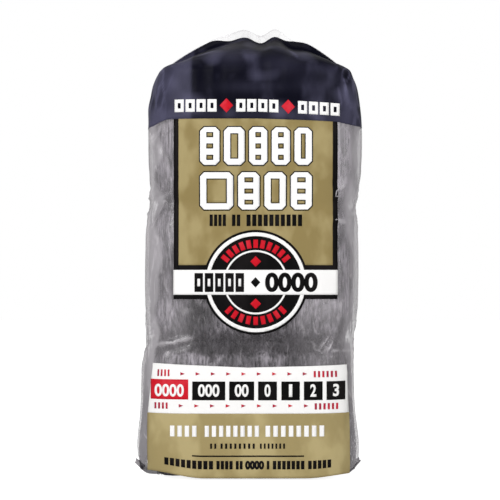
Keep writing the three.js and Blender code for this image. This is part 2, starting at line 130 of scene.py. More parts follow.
FIN_WAVE_SPREAD = 14 * MM
FIN_JOINT = 0.81  # share of the rise at which the two layers of film meet
FIN_SWAY = 1.8 * MM
FIN_SWAY_LENGTH = 41 * MM
FIN_SWAY_FROM = 0.4
GATHER_DEPTH = 2 * MM
GATHER_LENGTH = 27 * MM
GATHER_PEAK = 6 * MM
# The way up from the shoulder to the fin: shares of the rise, and of the depth left there
ROOF_RISES = (0, 0.14, 0.3, 0.45, 0.57, 0.67, 0.75, FIN_JOINT, 1)
ROOF_DEPTHS = (1, 0.975, 0.9, 0.74, 0.5, 0.26, 0.09, 0, 0)
ROOF_ROUNDING = 0.05
GUSSET_TUCK = 3 * MM
GUSSET_WIDTH = 15 * MM
GUSSET_FROM = 0.2
GUSSET_TO = 0.9
GUSSET_ENDS = 0.8
JOINT_SOFTNESS = 0.15

# Fineness of the meshes
SIDE_CROWDING = 0.8
FILM_SIDES = 360
EDGE_RINGS = 8
WALL_RINGS = 150
ROOF_RINGS = 34
BASE_RINGS = 5
HEADER_RINGS = 16
PAD_SIDES = 96
PAD_EDGE_RINGS = 6
PAD_BODY_RINGS = 22
PAD_CAP_RINGS = 24
PAD_EDGE_FROM = 0.2
CORE_AT = 0.995
LABEL_STEP = 1.5 * MM
BADGE_STEPS = 96
SEAL_ROWS = 26

# Noise: width of its features in X, Y and Z in millimetres, and seed
SWELL_NOISE = ((26, 26, 26), 1)
STREAK_NOISE = ((7, 9, 46), 2)
FOLD_NOISE = ((21, 17, 6.5), 3)
GATHER_NOISE = ((10, 60, 34), 4)
WAVE_NOISE = ((40, 40, 15), 7)
MOTTLE_NOISE = ((10, 10, 24), 8)
PALE_NOISE = ((8, 30, 14), 9)
CLUMP_NOISE = ((8, 12, 20), 11)
STRAND_NOISE = ((1.6, 3, 26), 12)
TONE_NOISE = ((9, 9, 9), 14)
PATCH_NOISE = ((11, 40, 9), 15)
CRINKLE_NOISE = ((4, 9, 11), 16)
SEED_STEP = 17.3

# Relief of the film
SOFT_SWELL = 0.4 * MM
STREAK_HEIGHT = 0.5 * MM
PINCH_HEIGHT = 1.1 * MM
PINCH_SPREAD = 13 * MM
GATHER_HEIGHT = 0.7 * MM
RELIEF_FLOOR = -0.45 * MM
CORNER_LIFT = (3.4 * MM, 1.6 * MM)  # how far the base's corners are drawn up, left and right
CORNER_HEIGHT = 24 * MM
# Creases of the front, in millimetres: x and z of both ends, width and height
FRONT_CREASES = (
    (35.8, 65.8, 41.0, 73.6, 0.8, 1.5),
    (38.9, 64.4, 44.2, 72.0, 0.8, 1.4),
    (47.5, 69.0, 40.5, 60.5, 1.6, 0.8),
    (50.0, 79.0, 43.0, 71.0, 2.2, -0.9),
    (-45.1, 68.8, -37.7, 69.2, 1.3, 1.2),
    (-38.5, 69.1, -28.0, 71.9, 1.3, 1.3),
    (-37.7, 63.5, -27.0, 66.9, 1.4, 1.0),
    (-47.0, 72.5, -33.0, 75.0, 2.2, -0.8),
    (-46.4, 142.0, -40.5, 144.0, 1.2, 1.2),
    (-46.4, 141.8, -40.0, 138.0, 1.2, 1.2),
    (-46.2, 171.0, -43.4, 160.5, 1.3, 1.1),
    (-50.5, 178.0, -47.0, 164.0, 1.4, 0.9),
    (-50.0, 134.0, -42.0, 139.5, 2.0, -0.9),
    (45.6, 140.5, 43.9, 146.0, 1.2, 1.4),
    (43.9, 145.5, 49.5, 148.4, 1.2, 1.3),
    (44.0, 148.0, 51.0, 137.0, 2.6, -1.0),
    (42.5, 131.5, 50.0, 129.0, 1.5, 0.9),
    (-27.5, 213.5, -15.5, 218.5, 1.5, 0.9),
    (20.0, 220.5, 25.5, 212.0, 1.5, 0.9),
    (48.0, 203.0, 51.0, 189.5, 1.0, 1.1),
    (45.0, 199.0, 47.5, 187.0, 0.9, 0.8),
    (-50.5, 194.0, -46.0, 208.0, 1.0, 1.2),
    (-47.5, 185.5, -44.5, 201.0, 0.9, 0.9),
    (-52.5, 182.0, -50.0, 193.0, 1.0, 1.1),
)

# Haze of the film, and its hazier places: x, z and spreads in millimetres, and strength
BODY_HAZE = 0.24
STRIP_HAZE = 0.7
# Crease haze is both haze and a painted highlight on the ridges of the creases
CREASE_HAZE_AND_HIGHLIGHT = 0.8
RIM_HAZE = 0.5
FIN_CLEARNESS = 0.9
FILM_PATCHES = (
    (47.0, 165.0, 8.0, 24.0, 0.3),
    (33.0, 87.0, 13.0, 9.0, 0.34),
    (-50.0, 160.0, 5.0, 22.0, 0.35),
    (-51.0, 115.0, 4.0, 20.0, 0.25),
    (51.0, 165.0, 4.0, 22.0, 0.2),
    (-46.0, 115.0, 6.0, 18.0, 0.12),
)

# The header: its painted highlights, given likewise, the paler part at its left, and its edges
HEADER_HIGHLIGHTS = (
    (-9.0, 214.5, 9.0, 6.0, 0.45),
    (17.0, 209.0, 11.0, 5.5, 0.34),
    (2.0, 197.5, 16.0, 3.0, 0.3),
    (31.0, 199.0, 7.0, 4.0, 0.25),
    (52.0, 188.0, 5.0, 12.0, 0.6),
    (40.0, 206.0, 9.0, 3.5, 0.3),
)
HEADER_PALE_TO = -28.5 * MM
HEADER_PALENESS = 0.85
HEADER_MOST = 1.6
# How far the lower edge is drawn down at its ends: end, depth and where it starts
HEADER_ENDS = ((-1, 3.2 * MM, 39 * MM), (1, 1.3 * MM, 43 * MM))
HEADER_END_LENGTH = 13 * MM
HEADER_EDGE_HEIGHT = 14 * MM
CLEAR_MARGIN = 0.45 * MM
CLEAR_MARGIN_MIDDLE = 3.7 * MM

# Wool: its relief, and its lighter and darker places, which are painted shade where the rows meet,
# in the pinches and low at the left, painted light at the sides, and a few other lighter places
WOOL_CLUMP = 0.35 * MM
WOOL_STREAK = 0.25 * MM
WOOL_HIGHEST = 0.15 * MM
# Lighter and darker places of the wool, mostly painted light and shade: x, z and spreads in
# millimetres, and strength
WOOL_PAINTED_LIGHT_AND_SHADE = (
    (0.0, 66.0, 32.0, 9.0, -0.34),
    (29.0, 67.0, 10.0, 8.0, -0.5),
    (-24.0, 84.0, 8.0, 9.0, -0.85),
    (-36.0, 66.2, 10.0, 2.2, -0.5),
    (-42.5, 141.0, 5.0, 2.6, -0.85),
    (43.2, 140.0, 3.2, 4.5, -0.95),
    (34.0, 88.0, 14.0, 9.0, 1.25),
    (42.0, 68.0, 5.0, 6.0, 0.15),
    (47.0, 165.0, 9.0, 20.0, 1.1),
    (-50.0, 170.0, 5.0, 20.0, 0.5),
    (-46.0, 115.0, 9.0, 20.0, 0.5),
    (-48.0, 24.0, 8.0, 14.0, -0.3),
)
PAD_SHIFTS = (0.13, 0.17)  # of the wool's pattern from row to row and from layer to layer

# Loose strands of wool
STRAND_SEED = 11
STRAND_STEPS = 6
CAP_SHARE = 9  # one strand on each end for so many on a face
FRINGE_COUNT = 70
FRINGE_COUNT_LOW = {-1: 380, 1: 170}  # strands in each valley of the bottom row, by its end
FRINGE_SHORT = (-1, 58 * MM, 92 * MM)  # the end and heights where the film hangs free of the wool
FRINGE_TOP = SHOULDER - 9 * MM
TUFT_AT_SIDE = 420
TUFT_IN_VALLEYS = 0.45
TUFT_ON_FACE = 460
TUFT_NOTCH = 3.2 * MM

# Print, in millimetres from the pack's middle line where no unit is given
INK_THICKNESS = 0.06 * MM
LABEL_DROOP = 1.9 * MM
PANEL_BORDER = 2.4 * MM
RULE_WIDTH = 2.2 * MM
BLOCK_OUTLINE = 0.55 * MM
BLOCK_STROKE = 3.7
BLOCK_BAR = 3.1
# Rows of plain marks where words stood: from x, to x and how many
HEADER_ROW = ((-37.0, -15.1, 4), (-6.2, 15.8, 4), (24.7, 46.6, 4))
HEADER_DIAMONDS = (-10.65, 20.25)
HEADER_ROW_Z = 188.1
TITLE_LINE = ((-19.35, -10.6, 4), (-8.2, -3.4, 2), (-1.0, 27.6, 10))
BANNER_ROW = ((-27.0, -1.4, 5),)
BAND_PALE_WORDS = ((-39.55, -24.85, 4), (-22.2, 6.35, 8), (8.15, 39.05, 8))
BAND_THIN_WORDS = ((-19.35, -15.15, 2), (-14.2, 4.15, 8), (5.6, 19.15, 7))
BAND_BOLD_WORDS = (
    (-42.1, -16.95, 9),
    (-15.9, -7.25, 4),
    (-6.2, -2.3, 2),
    (9.3, 11.05, 1),
    (12.25, 28.65, 7),
    (29.9, 42.05, 5),
)
# Blocks where the two big words stood: low z, high z, gap, then width and holes
TITLE_FROM = -24.35
TITLE_ROWS = (
    (157.75, 177.75, 1.15, ((10.8, 3), (11.4, 1), (10.2, 3), (10.2, 3), (9.8, 1))),
    (135.45, 155.25, 1.4, ((17.6, 1), (11.8, 3), (11.8, 1), (11.6, 3))),
)
# The badge's rings, as shares of its radius, and its arcs of ticks: count, start and sweep
BADGE_RINGS = ((0.882, 0.954), (0.578, 0.613))
BADGE_ARCS = ((11, 38, 104), (9, 226, 88))
BADGE_DIAMONDS = (10.4 * MM, -10.7 * MM)
TICK_RADIUS = 0.735
# The grade scale: boxes and their numerals
SCALE_CORNERS = ((-50.45, 33.9), (51.15, 33.9), (49.95, 58.05), (-0.1, 56.9), (-47.75, 58.95))
RED_BOX = (-48.75, 40.95, -29.75, 50.95)
BLACK_BOXES = (
    (-27.75, -11.25, "000"),
    (-9.25, 3.2, "00"),
    (5.2, 14.6, "0"),
    (16.85, 26.05, "1"),
    (28.1, 37.45, "2"),
    (39.45, 49.05, "3"),
)
BOX_FROM = 40.6
BOX_TO = 49.95
NUMERAL_FROM = 42.3
NUMERAL_TO = 48.6
NUMERAL_WIDTH = 3.1
NUMERAL_GAP = 0.75
SCALE_ARROWS = ((-33.0, 53.75, 7.66), (-33.75, 37.8, 7.83))
SCALE_WORDS = (
    ((-45.8, -38.8, 4), 52.5, 55.8),
    ((32.5, 45.4, 6), 52.0, 55.1),
    ((-47.2, -39.6, 4), 36.2, 39.3),
    ((33.0, 46.0, 6), 35.9, 39.0),
)
BAND_FROM = 1.6 * MM
SCALE_FROM = 33.9 * MM
BAND_HAZE = 0.75

# Camera and lamps: place, width, height and power
CAMERA_DISTANCE = 750 * MM
EYE_HEIGHT = 100 * MM
CAMERA_SIDE = 1.15 * MM
LENS = 108.0
SENSOR = 36.0
EYE_BELOW_MIDDLE = 31.5 / 500  # of the picture's height
LAMPS = {
    "key": ((-0.5, -0.9, 0.55), 0.7, 0.7, 6.5),
    "fill": ((0.7, -0.8, 0.25), 0.6, 0.8, 3.2),
    "top": ((0.0, -0.1, 0.9), 0.7, 0.6, 0.9),
}
FLOOR_REACH = 3.0
AMBIENT_LIGHT = 0.33


def smooth(low, high, value):
    """0 below low, 1 above high, and an even step between them."""
    share = np.clip((value - low) / (high - low), 0, 1)
    return share * share * (3 - 2 * share)


def bell(value, middle, spread):
    """1 at the middle, and falling off on both sides."""
    return np.exp(-(((value - middle) / spread) ** 2))


def cloud(points, pattern):
    """Smooth noise of about -1 to 1 at each point."""
    size, seed = pattern
    places = points / (np.array(size, float) * MM) + SEED_STEP * seed
    return np.array([noise.noise(place) for place in places])


def spots(x, z, table):
    """The strength of some soft places at each x and z."""
    total = 0
    for middle_x, middle_z, spread_x, spread_z, strength in table:
        near = bell(x, middle_x * MM, spread_x * MM)
        total = total + strength * near * bell(z, middle_z * MM, spread_z * MM)
    return total


# Shape of the film bag


def lean_at(z):
    """How far the rows have stepped sideways at a height."""
    place = (z - STACK_BOTTOM) / ROW_PITCH - 0.5
    row = np.clip(np.floor(place), 0, len(ROWS) - 2)
    return ROW_LEAN * (row + smooth(LEAN_FROM, LEAN_TO, place - row))


def swell_at(z):
    """1 at the middle of a row and 0 where two rows meet."""
    place = (z - STACK_BOTTOM) / ROW_PITCH
    rounded = np.hypot(np.sin(math.pi * (place - np.floor(place))), JOINT_SOFTNESS)
    level = (rounded - JOINT_SOFTNESS) / (math.hypot(1, JOINT_SOFTNESS) - JOINT_SOFTNESS)
    return np.where((place < 0.5) | (place > len(ROWS) - 0.5), 1.0, level**SWELL_FULLNESS)


def wall_section(z):
    """Half width, half depth and middle of the bag at a height below the shoulder."""
    pinch = 1 - swell_at(z)
    slack = SLACK_WIDTH * bell((z - STACK_BOTTOM) / ROW_PITCH, SLACK_HEIGHT, SLACK_SPREAD)
    rounded = np.maximum(1 - (SHOULDER - z) / SHOULDER_HEIGHT, 0) ** 2
    ease = SIDE_EASE + slack - SHOULDER_WIDTH * rounded
    half_width = PAD_WIDTH / 2 + FACE_EASE + ease - SIDE_PINCH * pinch
    half_depth = STACK_HALF_DEPTH + FACE_EASE - FACE_PINCH * pinch
    return half_width, half_depth, ROW_CENTRE + lean_at(z)


def other_way(share):
    """How far the bag's rounded section reaches one way, at a share of its reach the other."""
    return (1 - share**BAG_SQUARENESS) ** (1 / BAG_SQUARENESS)


def section_point(angle, half_width, half_depth, squareness, crowding):
    """A point on a rounded rectangular section."""
    across = np.sign(np.cos(angle)) * np.abs(np.cos(angle)) ** crowding
    along = np.sign(np.sin(angle)) * np.abs(np.sin(angle)) ** crowding
    reach = (np.abs(across) ** squareness + np.abs(along) ** squareness) ** (-1 / squareness)
    return half_width * across * reach, half_depth * along * reach


def fin_top(across):
    """The fin's upper edge at a distance from its middle."""
    share = across / FIN_HALF_WIDTH
    hump = np.cos(ROUND * (across - FIN_WAVE_PEAK) / FIN_WAVE_LENGTH)
    fade = bell(across, FIN_WAVE_MIDDLE, FIN_WAVE_SPREAD)
    return FIN_END + FIN_ARCH * (1 - share**2) + FIN_WAVE * hump * fade


def bag_wall(angle, z, drawn_in=0.0):
    """Points on the wall of the bag."""
    half_width, half_depth, centre = wall_section(z)
    x, y = section_point(
        angle, half_width - drawn_in, half_depth - drawn_in, BAG_SQUARENESS, SIDE_CROWDING
    )
    return np.stack([centre + x, y, z + 0 * x], axis=-1)


def roof_depth(rise):
    """The share of its depth that the roof keeps at a rise, with rounded corners."""
    reach = ROOF_ROUNDING * smooth(0, 2 * ROOF_ROUNDING, rise)
    offsets = np.linspace(-1, 1, 9)
    return np.mean([np.interp(rise + reach * o, ROOF_RISES, ROOF_DEPTHS) for o in offsets], axis=0)


def bag_roof(angle, rise):
    """Points between the shoulder, at a rise of 0, and the fin's edge, at 1."""
    half_width, half_depth, centre = wall_section(SHOULDER)
    share = np.clip(rise / FIN_JOINT, 0, 1)
    depth = FIN_HALF_DEPTH + (half_depth - FIN_HALF_DEPTH) * roof_depth(rise)
    width = half_width + (FIN_HALF_WIDTH - half_width) * rise
    across, y = section_point(angle, width, depth, BAG_SQUARENESS, SIDE_CROWDING)
    ridge = (1 + np.cos(ROUND * (across - GATHER_PEAK) / GATHER_LENGTH)) / 2
    gathered = 1 + GATHER_DEPTH * ridge * np.sin(math.pi * share) ** 2 / depth
    sway = FIN_SWAY * np.sin(ROUND * across / FIN_SWAY_LENGTH)
    tuck = np.clip((rise - GUSSET_FROM) / (GUSSET_TO - GUSSET_FROM), 0, 1)
    ends = smooth(GUSSET_ENDS, 1, np.abs(across) / FIN_HALF_WIDTH)
    fold = GUSSET_TUCK * np.sin(math.pi * tuck) ** 2 * ends * bell(y, 0, GUSSET_WIDTH)
    z = SHOULDER + (fin_top(across) - SHOULDER) * rise
    x = centre + across - np.sign(across) * fold
    return np.stack([x, y * gathered + sway * smooth(FIN_SWAY_FROM, FIN_JOINT, rise), z], axis=-1)


def bag_rings():
    """The bag's smooth surface as rings of points, from the rim of its base to the fin's edge."""
    angle = ROUND * np.arange(FILM_SIDES) / FILM_SIDES
    rings = []
    for turn in np.linspace(0, 1, EDGE_RINGS, endpoint=False):
        bend = turn * math.pi / 2
        z = SEAL_LIP + BASE_EDGE_RADIUS * (1 - math.cos(bend))
        rings.append(bag_wall(angle, z, BASE_EDGE_RADIUS * (1 - math.sin(bend))))
    wall_from = SEAL_LIP + BASE_EDGE_RADIUS
    for z in np.linspace(wall_from, SHOULDER, WALL_RINGS, endpoint=False):
        rings.append(bag_wall(angle, z))
    for rise in np.linspace(0, 1, ROOF_RINGS):
        rings.append(bag_roof(angle, rise))
    return np.array(rings)


def header_rings():
    """The header's surface as rings, from its drooping lower edge to below the fin's edge."""
    angle = ROUND * np.arange(FILM_SIDES) / FILM_SIDES
    rings = []
    for z in np.linspace(HEADER_FROM, SHOULDER, HEADER_RINGS, endpoint=False):
        level = bag_wall(angle, z)
        droop = label_droop(level) * smooth(0, 0.6, -level[:, 1] / STACK_HALF_DEPTH)
        for end, depth, start in HEADER_ENDS:
            out = end * (level[:, 0] - ROW_CENTRE)
            droop += depth * smooth(start, start + HEADER_END_LENGTH, out)
        near_edge = 1 - smooth(HEADER_FROM, HEADER_FROM + HEADER_EDGE_HEIGHT, z)
        rings.append(bag_wall(angle, z - droop * near_edge))
    across = bag_roof(angle, 1.0)[:, 0] - wall_section(SHOULDER)[2]
    middle = smooth(-24 * MM, -11 * MM, across) * (1 - smooth(12 * MM, 21 * MM, across))
    margin = CLEAR_MARGIN + CLEAR_MARGIN_MIDDLE * middle
    top = 1 - margin / (fin_top(across) - SHOULDER)
    for share in np.linspace(0, 1, ROOF_RINGS):
        rings.append(bag_roof(angle, top * share))
    return np.array(rings)


def grid_normals(rings):
    """The outward direction at each point of closed rings."""
    around = np.roll(rings, -1, axis=1) - np.roll(rings, 1, axis=1)
    along = np.gradient(rings, axis=0)
    normals = np.cross(around, along)
    return normals / np.maximum(np.linalg.norm(normals, axis=-1, keepdims=True), 1e-12)


def crease_relief(points):
    """How far the creases of the front lift or sink the film at each point."""
    relief = np.zeros(len(points))
    places = points[:, [0, 2]]
    on_front = smooth(0.3, 0.7, -points[:, 1] / STACK_HALF_DEPTH)
    for x0, z0, x1, z1, width, height in FRONT_CREASES:
        start = np.array([x0, z0]) * MM
        run = np.array([x1, z1]) * MM - start
        share = np.clip((places - start) @ run / (run @ run), 0, 1)
        off = np.linalg.norm(places - start - share[:, None] * run, axis=1)
        fade = np.sin(math.pi * (0.12 + 0.76 * share))
        relief += height * MM * fade * np.exp(-np.abs(off / (width * MM)) ** 1.4)
    return relief * on_front


def side_share(points):
    """0 at the middle of the front and back, 1 at the sides of the bag."""
    half_width, _, centre = wall_section(np.minimum(points[:, 2], SHOULDER))
    return np.abs(points[:, 0] - centre) / half_width


def film_relief(points):
    """How far the wrinkled film stands off its smooth shape at each point."""
    z = points[:, 2]
    in_fin = smooth(SHOULDER + 6 * MM, FIN_END + 6 * MM, z)
    near_base = smooth(0, 5 * MM, z)
    at_sides = smooth(0.6, 0.95, side_share(points))
    relief = SOFT_SWELL * cloud(points, SWELL_NOISE)
    streaks = 0.5 - 2.2 * np.abs(cloud(points, STREAK_NOISE))
    relief += STREAK_HEIGHT * (0.25 + 0.75 * at_sides) * streaks
    folds = 0.6 - 2.4 * np.abs(cloud(points, FOLD_NOISE))
    for row in range(1, len(ROWS)):
        near = bell(z, STACK_BOTTOM + row * ROW_PITCH, PINCH_SPREAD)
        relief += PINCH_HEIGHT * near * (0.15 + 0.85 * at_sides) * folds
    gathers = 0.5 - 2.2 * np.abs(cloud(points, GATHER_NOISE))
    relief += GATHER_HEIGHT * smooth(HEADER_FROM + 9 * MM, STACK_TOP + 4 * MM, z) * gathers
    relief += crease_relief(points)
    return np.maximum(relief, RELIEF_FLOOR) * (1 - in_fin) * near_base


def corner_lift(points):
    """How far the settled corners of the base stand off the ground at each point."""
    x, _, z = points.T
    left = CORNER_LIFT[0] * smooth(22 * MM, 50 * MM, -x)
    right = CORNER_LIFT[1] * smooth(30 * MM, 52 * MM, x)
    return (left + right) * (1 - smooth(0, CORNER_HEIGHT, z))


def wrinkled(points, normals, lift=0.0):
    """Points of the wrinkled film, or of print that lies a little above it."""
    flat_points = points.reshape(-1, 3)
    flat_normals = normals.reshape(-1, 3)
    moved = flat_points + flat_normals * (film_relief(flat_points) + lift)[:, None]
    moved[:, 2] += corner_lift(flat_points)
    return moved.reshape(points.shape)


def wall_normals(points):
    """The outward direction on the wall at points of the smooth surface."""

    def fullness(x, y, z):
        half_width, half_depth, centre = wall_section(z)
        across = np.abs((x - centre) / half_width) ** BAG_SQUARENESS
        return across + np.abs(y / half_depth) ** BAG_SQUARENESS

    step = 0.05 * MM
    x, y, z = points.T
    slopes = [
        fullness(x + step, y, z) - fullness(x - step, y, z),
        fullness(x, y + step, z) - fullness(x, y - step, z),
        fullness(x, y, z + step) - fullness(x, y, z - step),
    ]
    normals = np.stack(slopes, axis=-1)
    return normals / np.linalg.norm(normals, axis=1, keepdims=True)


def front_points(x, z, lift):
    """Places on the wrinkled front, for places in the plane of the label."""
    half_width, half_depth, centre = wall_section(z)
    y = -half_depth * other_way(np.minimum(np.abs((x - centre) / half_width), 0.995))
    points = np.stack([x, y, z], axis=-1)
    return wrinkled(points, wall_normals(points), lift)


def film_haze_and_highlights(points, relief):
    """How hazy the film is at each point: most where it hangs loose at the edges, and with painted
    highlights along the ridges of its creases.
    """
    x, y, z = points.T
    half_width, half_depth, centre = wall_section(np.minimum(z, SHOULDER))
    across = (x - centre) / half_width
    wave = cloud(points, WAVE_NOISE)
    mottle = cloud(points, MOTTLE_NOISE)
    body = BODY_HAZE * smooth(0.38, 0.64, np.abs(across) + 0.1 * wave) * (1 + 0.6 * mottle)
    body *= 1 - 0.6 * (1 - smooth(34 * MM, 50 * MM, z))
    body += spots(x - ROW_CENTRE, z, FILM_PATCHES) * (y < 0) * (1 + mottle)
    left = smooth(0.84, 0.89, -across + 0.1 * wave)
    right = 0.75 * smooth(0.84, 0.94, across + 0.08 * wave)
    facing = smooth(0.45, 0.8, np.abs(y) / half_depth)
    strips = STRIP_HAZE * (left + right) * (0.25 + 0.75 * facing) * (1 + 0.35 * mottle)
    strips *= 1 - 0.35 * (1 - smooth(36 * MM, 56 * MM, z))
    # Haze and a painted highlight where the creases lift the film
    lifted = smooth(0.35 * MM, 1.1 * MM, relief) * (1 - 0.6 * smooth(0.9, 0.98, np.abs(across)))
    top = fin_top(x - centre)
    fin = smooth(top - 8 * MM, top - 5 * MM, z)
    rim = smooth(top - 0.9 * MM, top - 0.1 * MM, z)
    haze_and_highlight = np.clip(body + strips + CREASE_HAZE_AND_HIGHLIGHT * lifted, 0, 1)
    return haze_and_highlight * (1 - FIN_CLEARNESS * fin) + RIM_HAZE * rim


def header_paleness_and_highlights(points):
    """How pale the header is at each point: paler at its left, with painted highlights in soft
    patches, on the crinkles at its ends, at the listed places and on its creases, and paler near its
    lower edge.
    """
    x, _, z = points.T
    haze_and_highlight = HEADER_PALENESS * (1 - smooth(HEADER_PALE_TO - 1 * MM, HEADER_PALE_TO + 1 * MM, x))
    haze_and_highlight *= 1 + 0.3 * cloud(points, PALE_NOISE)
    # Painted highlights: the soft patches, the crinkles at the ends, the listed places and the
    # creases make the header paler
    haze_and_highlight += 1.6 * np.maximum(cloud(points, PATCH_NOISE) - 0.12, 0)
    crinkled = 1 - 6 * np.abs(cloud(points, CRINKLE_NOISE))
    at_ends = smooth(0.78, 0.93, side_share(points))
    haze_and_highlight += at_ends * (1.5 * np.maximum(crinkled, 0) - 0.25)
    haze_and_highlight += spots(x, z, HEADER_HIGHLIGHTS)
    haze_and_highlight += 1.3 * smooth(0.25 * MM, 1.0 * MM, crease_relief(points))
    low = 1 - smooth(HEADER_FROM + 2 * MM, HEADER_FROM + 9 * MM, z)
    haze_and_highlight += low * (0.3 + 0.4 * smooth(30 * MM, 48 * MM, np.abs(x - ROW_CENTRE)))
    return np.clip(haze_and_highlight, 0, HEADER_MOST)


# Meshes and objects


def linear(red, green, blue):
    """A colour of 0 to 255, as light that a shader takes."""
    channels = np.array([red, green, blue]) / 255
    low = channels / 12.92
    high = ((channels + 0.055) / 1.055) ** 2.4
    return tuple(float(value) for value in np.where(channels <= 0.04045, low, high))


def linked(name, data):
    """A new object at the origin, in the scene."""
    made = bpy.data.objects.new(name, data)
    bpy.context.scene.collection.objects.link(made)
    return made


def new_object(name, vertices, faces, material):
    """A smooth-shaded mesh object at the origin with one material."""
    mesh = bpy.data.meshes.new(name)
    mesh.from_pydata([tuple(point) for point in vertices], [], faces)
    mesh.validate()
    mesh.materials.append(material)
    mesh.polygons.foreach_set("use_smooth", [True] * len(mesh.polygons))
    mesh.update()
    return linked(name, mesh)


def set_values(mesh, name, values):
    """Stores a number for each vertex of a mesh."""
    attribute = mesh.attributes.new(name, "FLOAT", "POINT")
    attribute.data.foreach_set("value", np.asarray(values, np.float32))


def face_outwards(piece, merge=None):
    """Turns a closed mesh's faces outwards, after its doubles are merged where that is asked."""
    work = bmesh.new()
    work.from_mesh(piece.data)
    if merge:
        bmesh.ops.remove_doubles(work, verts=work.verts, dist=merge)
    bmesh.ops.recalc_face_normals(work, faces=work.faces)
    work.to_mesh(piece.data)
    work.free()


def thicken(piece, thickness, offset=-1):
    """Gives a sheet its thickness."""
    wall = piece.modifiers.new("Thickness", "SOLIDIFY")
    wall.thickness = thickness
    wall.offset = offset


def hand_over(piece, slot, *nodes):
    """Lets a finished piece ride on the pack, and hides the nodes it stands for. The slot argument
    is not used.
    """
    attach(piece, BODY)
    if nodes:
        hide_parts(*nodes)


def ring_faces(ring_count, sides):
    """Faces between rings of points that run anticlockwise as seen from the far end."""
    faces = []
    for low in range(0, (ring_count - 1) * sides, sides):
        for side in range(sides):
            after = (side + 1) % sides
            faces.append((low + side, low + after, low + sides + after, low + sides + side))
    return faces


def nodes_named(prefix):
    """The frame's nodes whose names start with the prefix and end in a number."""
    return [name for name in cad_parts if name.startswith(prefix) and name[-1].isdigit()]


def real_mesh(carrier):
    """The plain mesh that an object comes out as. The object itself is removed."""
    bpy.context.view_layer.update()
    evaluated = carrier.evaluated_get(bpy.context.evaluated_depsgraph_get())
    made = bpy.data.meshes.new_from_object(evaluated)
    bpy.data.objects.remove(carrier)
    return made


def taken_up(mesh):
    """A bmesh of a mesh, which is removed."""
    work = bmesh.new()
    work.from_mesh(mesh)
    bpy.data.meshes.remove(mesh)
    return work


# Nodes

SOCKETS = {float: "NodeSocketFloat", int: "NodeSocketInt", tuple: "NodeSocketVector"}


def named_tree(name, kind, inputs, outputs):
    """An empty node tree with named sockets, given by a default value or by their kind."""
    tree = bpy.data.node_groups.new(name, kind)
    for socket, value in inputs.items():
        socket_type = SOCKETS.get(type(value), value)
        made = tree.interface.new_socket(name=socket, in_out="INPUT", socket_type=socket_type)
        if socket_type != value:
            made.default_value = value
    for socket, socket_type in outputs.items():
        tree.interface.new_socket(name=socket, in_out="OUTPUT", socket_type=socket_type)
    return tree, tree.nodes.new("NodeGroupInput").outputs, tree.nodes.new("NodeGroupOutput").inputs


def plug(tree, inputs, values):
    """Sets sockets, by name or number, to values or to the outputs of other nodes."""
    for socket, value in values.items():
        if isinstance(value, bpy.types.NodeSocket):
            tree.links.new(value, inputs[socket])
        else:
            inputs[socket].default_value = value


def add(tree, kind, values=None, **settings):
    """Adds a node with its settings and the values of its sockets, and returns its outputs."""
    made = tree.nodes.new(kind)
    for name, value in settings.items():
        setattr(made, name, value)
    plug(tree, made.inputs, values or {})
    return made.outputs


def reckon(tree, operation, *values, clamp=False):
    """The result of a Math node."""
    values = dict(enumerate(values))
    return add(tree, "ShaderNodeMath", values, operation=operation, use_clamp=clamp)[0]


def spread(tree, value, low, high, to_low=0.0, to_high=1.0, kind="LINEAR"):
    """A value moved from one range to another."""
    values = {"Value": value, "From Min": low, "From Max": high}
    values |= {"To Min": to_low, "To Max": to_high}
    return add(tree, "ShaderNodeMapRange", values, interpolation_type=kind)["Result"]


def texture(tree, place, scale, detail=2.0, distortion=0.0, **settings):
    """Noise of a scale at a place."""
    values = {"Vector": place, "Scale": scale, "Detail": detail, "Distortion": distortion}
    return add(tree, "ShaderNodeTexNoise", values, **settings)["Fac"]


def stored(tree, name):
    """A number that the mesh carries."""
    return add(tree, "ShaderNodeAttribute", attribute_name=name)["Fac"]


def blend(tree, amount, dark, light, clamp=True):
    """A colour between two."""
    values = {"A": (*dark, 1), "B": (*light, 1), "Factor": amount}
    return add(tree, "ShaderNodeMix", values, data_type="RGBA", clamp_factor=clamp)["Result"]


def shared(tree, name, build, **values):
    """The outputs of a shader group that is built once, with its own values here."""
    group = bpy.data.node_groups.get(name) or build(name)
    return add(tree, "ShaderNodeGroup", values, node_tree=group)


def film_crinkle_group(name):
    """Fine crinkles of thin film, as a normal."""
    inputs = {"Crinkle": 0.35, "Streak": 0.3, "Distance": 0.0004}
    tree, given, out = named_tree(name, "ShaderNodeTree", inputs, {"Normal": "NodeSocketVector"})
    place = add(tree, "ShaderNodeTexCoord")["Object"]
    heights = []
    for scale, upright, amount in ((150.0, 0.75, "Crinkle"), (210.0, 0.12, "Streak")):
        values = {"Scale": (1.0, 1.0, upright), "Vector": place}
        tall = add(tree, "ShaderNodeMapping", values)["Vector"]
        ridges = texture(tree, tall, scale, 2.0, 0.35, noise_type="RIDGED_MULTIFRACTAL")
        heights.append(reckon(tree, "MULTIPLY", ridges, given[amount]))
    values = {"Distance": given["Distance"], "Height": reckon(tree, "ADD", *heights)}
    plug(tree, out, {"Normal": add(tree, "ShaderNodeBump", values)["Normal"]})
    return tree


def upright_place(tree, given):
    """Object coordinates, shrunk in height by the group's Upright input."""
    place = add(tree, "ShaderNodeTexCoord")["Object"]
    size = add(tree, "ShaderNodeCombineXYZ", {"X": 1.0, "Y": 1.0, "Z": given["Upright"]})
    values = {0: place, 1: size["Vector"]}
    return place, add(tree, "ShaderNodeVectorMath", values, operation="MULTIPLY")["Vector"]


